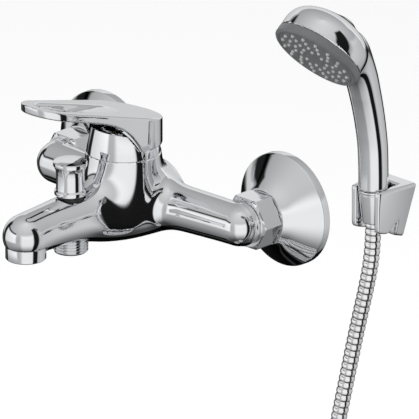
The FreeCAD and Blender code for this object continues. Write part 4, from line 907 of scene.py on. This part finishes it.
def make_spray_head():
    """The grey ring, the face with its raised rim, and a ring-shaped mat whose nozzles stand through it."""
    on_head = ("handset", HEAD_AT, HEAD_WAY)
    ring_radius, band, floor = 27.4, 5.5, -2.4
    face = ring_radius - 2.8
    outline = [(face, -band), (ring_radius, -band), (ring_radius, -1.1), (ring_radius - 1.1, 0),
               (face + 0.5, 0), (face, -0.5)]
    lathed("head_ring", outline, "spray_ring", "grey_plastic", *on_head, ease=0.5, sides=160)
    crown = curve_through([(0, 0.15), (0.3 * face, 0.1), (0.6 * face, -0.05), (0.93 * face, -0.35)], 8)[::-1]
    rim = face - 0.06
    outline = np.vstack([[(0, floor), (rim, floor), (rim, -0.45), (face - 0.9, -0.25)], crown])
    lathed("head_face", outline, "spray_face", "grey_plastic", *on_head, ease=0.2, sides=160)
    nozzle = [(0, -0.5), (1.35, -0.3), (1.0, 0.1), (0.82, 0.75), (0.55, 1.0), (0.4, 1.0), (0.36, 0.45),
              (0, 0.45)]
    shape, shape_faces = turned(nozzle, 14)
    angles, radii = [], []
    for share, count in ((0.35, 8), (0.53, 12), (0.71, 14), (0.88, 16)):
        shift = 0.5 * (count % 4 == 0)
        angles.append((np.arange(count) + shift) * 2 * math.pi / count)
        radii.append(np.full(count, share * face))
    turn, radius = np.concatenate(angles), np.concatenate(radii)
    at = np.stack([radius * np.cos(turn), radius * np.sin(turn), 0.1 - 0.35 * (radius / face) ** 2], -1)
    points = (at[:, None] + shape[None]).reshape(-1, 3)
    faces = [[i + k * len(shape) for i in corners] for k in range(len(at)) for corners in shape_faces]
    points = seated(points, HEAD_AT, HEAD_WAY)
    show("head_nozzles", points, faces, "nozzle_mat", "nozzle_rubber", "handset", 60)


# The hose

EXIT = np.array([0.1647, -0.0212, 0.0206])


def hose_route():
    """The route's points, in metres: listed down to the coil, then worked out round its four turns.

    The spline runs inside its points, so the coil's points lie further out than its radius.
    """
    free = [(0, 0, 0), (0, 0, -0.014), (-0.0021, -0.0011, -0.034), (-0.0081, -0.0041, -0.065),
            (-0.0141, -0.0072, -0.1), (-0.0192, -0.0098, -0.13), (-0.0238, -0.0122, -0.157),
            (-0.0262, -0.0134, -0.179), (-0.0263, -0.01345, -0.194)]
    route = [EXIT + np.array(p) for p in free]
    radius, pitch, turns, each, further = 0.0505, 0.0103, 4, 16, 1.0097
    straight, sink, rise = 0.0095, 0.009, 0.004
    start = route[-1] + np.array([0, 0, -straight])
    centre = start - np.array([radius, 0, 0])
    turn = np.arange(1, turns * each) * 2 * math.pi / each
    coil = np.stack([further * radius * np.cos(turn), -pitch * turn / (2 * math.pi),
                     -further * radius * np.sin(turn)], -1) + centre
    end = start + np.array([0, -pitch * turns - sink, 0])
    return np.vstack([route, [start], coil,
                      [end + np.array([0, 0, rise]), end, end - np.array([0, 0, straight])]])


def smooth_line(points, name):
    """Points read from the spline that the route's points control."""
    data = bpy.data.curves.new(name, "CURVE")
    data.dimensions = "3D"
    data.resolution_u = 24
    spline = data.splines.new("NURBS")
    spline.points.add(len(points) - 1)
    spline.points.foreach_set("co", np.hstack([points, np.ones((len(points), 1))]).ravel())
    spline.order_u = 3
    spline.use_endpoint_u = True
    thing = bpy.data.objects.new(name, data)
    mesh = bpy.data.meshes.new_from_object(thing)
    line = np.array([v.co for v in mesh.vertices])
    bpy.data.objects.remove(thing)
    bpy.data.meshes.remove(mesh)
    return line


def evenly(line, step):
    """The line's points again, this far apart along it, with how far along each lies."""
    along = np.concatenate([[0], np.cumsum(np.linalg.norm(np.diff(line, axis=0), axis=1))])
    count = int(round(along[-1] / step))
    spots = np.linspace(0, along[-1], count + 1)
    return np.stack([np.interp(spots, along, line[:, i]) for i in range(3)], -1), spots


def steady_frames(line):
    """Two directions square to the line at each point, carried along it without twisting."""
    way = np.gradient(line, axis=0)
    way /= np.linalg.norm(way, axis=1, keepdims=True)
    side = np.array([1.0, 0, 0])
    sides = []
    for forward in way:
        side = side - forward * (side @ forward)
        side /= np.linalg.norm(side)
        sides.append(side)
    sides = np.array(sides)
    return sides, np.cross(way, sides)


def make_hose():
    """The ribbed hose: at distance s along its line, the radius is r - depth * valley(s / pitch).

    The valley is a power of a cosine, so that the ribs are broad and the grooves between them narrow.
    """
    sizes = bpy.context.scene.mixer_sizes
    radius = 0.00475
    rings_per_rib, sides = 8, 20
    line = smooth_line(hose_route(), "hose_line")
    line, along = evenly(line, sizes.rib_pitch / rings_per_rib)
    side, other = steady_frames(line)
    wave = 0.5 + 0.5 * np.cos(2 * math.pi * along / sizes.rib_pitch)
    swell = radius - sizes.rib_depth * wave ** 2.5
    turn = np.linspace(0, 2 * math.pi, sides, endpoint=False)[None, :, None]
    spokes = np.cos(turn) * side[:, None] + np.sin(turn) * other[:, None]
    rings = line[:, None] + swell[:, None, None] * spokes
    points = np.vstack([rings.reshape(-1, 3), line[:1], line[-1:]]) / MM
    faces = ring_faces(len(line), sides, False)
    faces += cap_faces(len(line), sides, len(points) - 2, len(points) - 1)
    hose = show("ribbed_hose", points, faces, ["shower_hose", "hose_coil"], "hose_steel", "hose", 180)


# Operators

class MIXER_OT_studio(bpy.types.Operator):
    """Places the camera, the lamps, the white room and the floor"""

    bl_idname = "mixer.studio"
    bl_label = "Studio"

    def execute(self, context):
        studio = context.scene.mixer_studio
        place_camera(studio)
        right, up, back = camera_axes(studio)
        heart = Vector((0.05, -0.06, 0.03))
        lamp("key", heart - right * 0.9 + up * 0.8 + back * 0.9, heart, 0.9, 0.9, studio.key_power)
        lamp("fill", heart + right * 1.1 + up * 0.4 + back * 0.7, heart, 0.6, 1.1, studio.fill_power)
        context.scene.world = bpy.data.worlds.new("White room")
        studio_light(context.scene.world)
        lay_floor(studio.floor_level)
        context.scene.view_settings.view_transform = "Standard"
        return {"FINISHED"}


class MIXER_OT_hose(bpy.types.Operator):
    """Makes the ribbed hose with its coil, its cone nut and its end nut"""

    bl_idname = "mixer.hose"
    bl_label = "Hose"

    def execute(self, context):
        make_cone_nut()
        make_end_nut()
        make_hose()
        return {"FINISHED"}


class MIXER_OT_inlets(bpy.types.Operator):
    """Makes the two rosettes and union nuts"""

    bl_idname = "mixer.inlets"
    bl_label = "Inlets"

    def execute(self, context):
        make_inlets()
        return {"FINISHED"}


class MIXER_OT_casting(bpy.types.Operator):
    """Makes the casting with its filleted arms and spout"""

    bl_idname = "mixer.casting"
    bl_label = "Casting"

    def execute(self, context):
        make_free_form("casting", casting_field, "mixer_body", 1)
        return {"FINISHED"}


class MIXER_OT_lever(bpy.types.Operator):
    """Makes the lever and the cover ring below it"""

    bl_idname = "mixer.lever"
    bl_label = "Lever"

    def execute(self, context):
        make_cover()
        make_free_form("lever_handle", lever_field, "lever", 0.75, "lever")
        return {"FINISHED"}


class MIXER_OT_spout_fittings(bpy.types.Operator):
    """Makes the diverter knob, its ring, the shower outlet and the aerator"""

    bl_idname = "mixer.spout_fittings"
    bl_label = "Spout fittings"

    def execute(self, context):
        make_diverter()
        make_outlet()
        make_aerator()
        return {"FINISHED"}


class MIXER_OT_handset(bpy.types.Operator):
    """Makes the hand shower's shell and its spray face"""

    bl_idname = "mixer.handset"
    bl_label = "Hand shower"

    def execute(self, context):
        make_free_form("shower_shell", handset_field, "handset_shell", 1, "handset")
        make_spray_head()
        return {"FINISHED"}


class MIXER_OT_bracket(bpy.types.Operator):
    """Makes the wall bracket"""

    bl_idname = "mixer.bracket"
    bl_label = "Wall bracket"

    def execute(self, context):
        make_free_form("bracket", bracket_field, "wall_bracket", 0.65)
        return {"FINISHED"}


class MIXER_OT_inner_finishes(bpy.types.Operator):
    """Gives every frame node that stays its own finish"""

    bl_idname = "mixer.inner_finishes"
    bl_label = "Inner finishes"

    def execute(self, context):
        slots = {part["node"]: part["material_slot"] for part in frame["record"]["subparts"]}
        for node, thing in frame["nodes"].items():
            if thing.hide_render:
                continue
            thing.data.materials.clear()
            thing.data.materials.append(finish(slots[node]))
        return {"FINISHED"}


class MIXER_PT_panel(bpy.types.Panel):
    """Lists the mixer's pieces and settings"""

    bl_idname = "MIXER_PT_panel"
    bl_label = "Bath Mixer"
    bl_space_type = "VIEW_3D"
    bl_region_type = "UI"
    bl_category = "Bath Mixer"

    def draw(self, context):
        scene, layout = context.scene, self.layout
        for operator in OPERATORS:
            layout.operator(operator.bl_idname)
        for group in (scene.mixer_sizes, scene.mixer_finishes, scene.mixer_studio):
            box = layout.box()
            for name in group.__annotations__:
                box.prop(group, name)


OPERATORS = (MIXER_OT_studio, MIXER_OT_hose, MIXER_OT_inlets, MIXER_OT_casting, MIXER_OT_lever,
             MIXER_OT_spout_fittings, MIXER_OT_handset, MIXER_OT_bracket, MIXER_OT_inner_finishes)
GROUPS = {"mixer_sizes": MixerSizes, "mixer_finishes": MixerFinishes, "mixer_studio": MixerStudio}


def register():
    for group in GROUPS.values():
        bpy.utils.register_class(group)
    for name, group in GROUPS.items():
        setattr(bpy.types.Scene, name, bpy.props.PointerProperty(type=group))
    for operator in OPERATORS:
        bpy.utils.register_class(operator)
    bpy.utils.register_class(MIXER_PT_panel)


def unregister():
    bpy.utils.unregister_class(MIXER_PT_panel)
    for operator in reversed(OPERATORS):
        bpy.utils.unregister_class(operator)
    for name, group in GROUPS.items():
        delattr(bpy.types.Scene, name)
        bpy.utils.unregister_class(group)


def main():
    register()
    for operator in OPERATORS:
        group, name = operator.bl_idname.split(".")
        getattr(getattr(bpy.ops, group), name)()


if __name__ == "__main__":
    main()
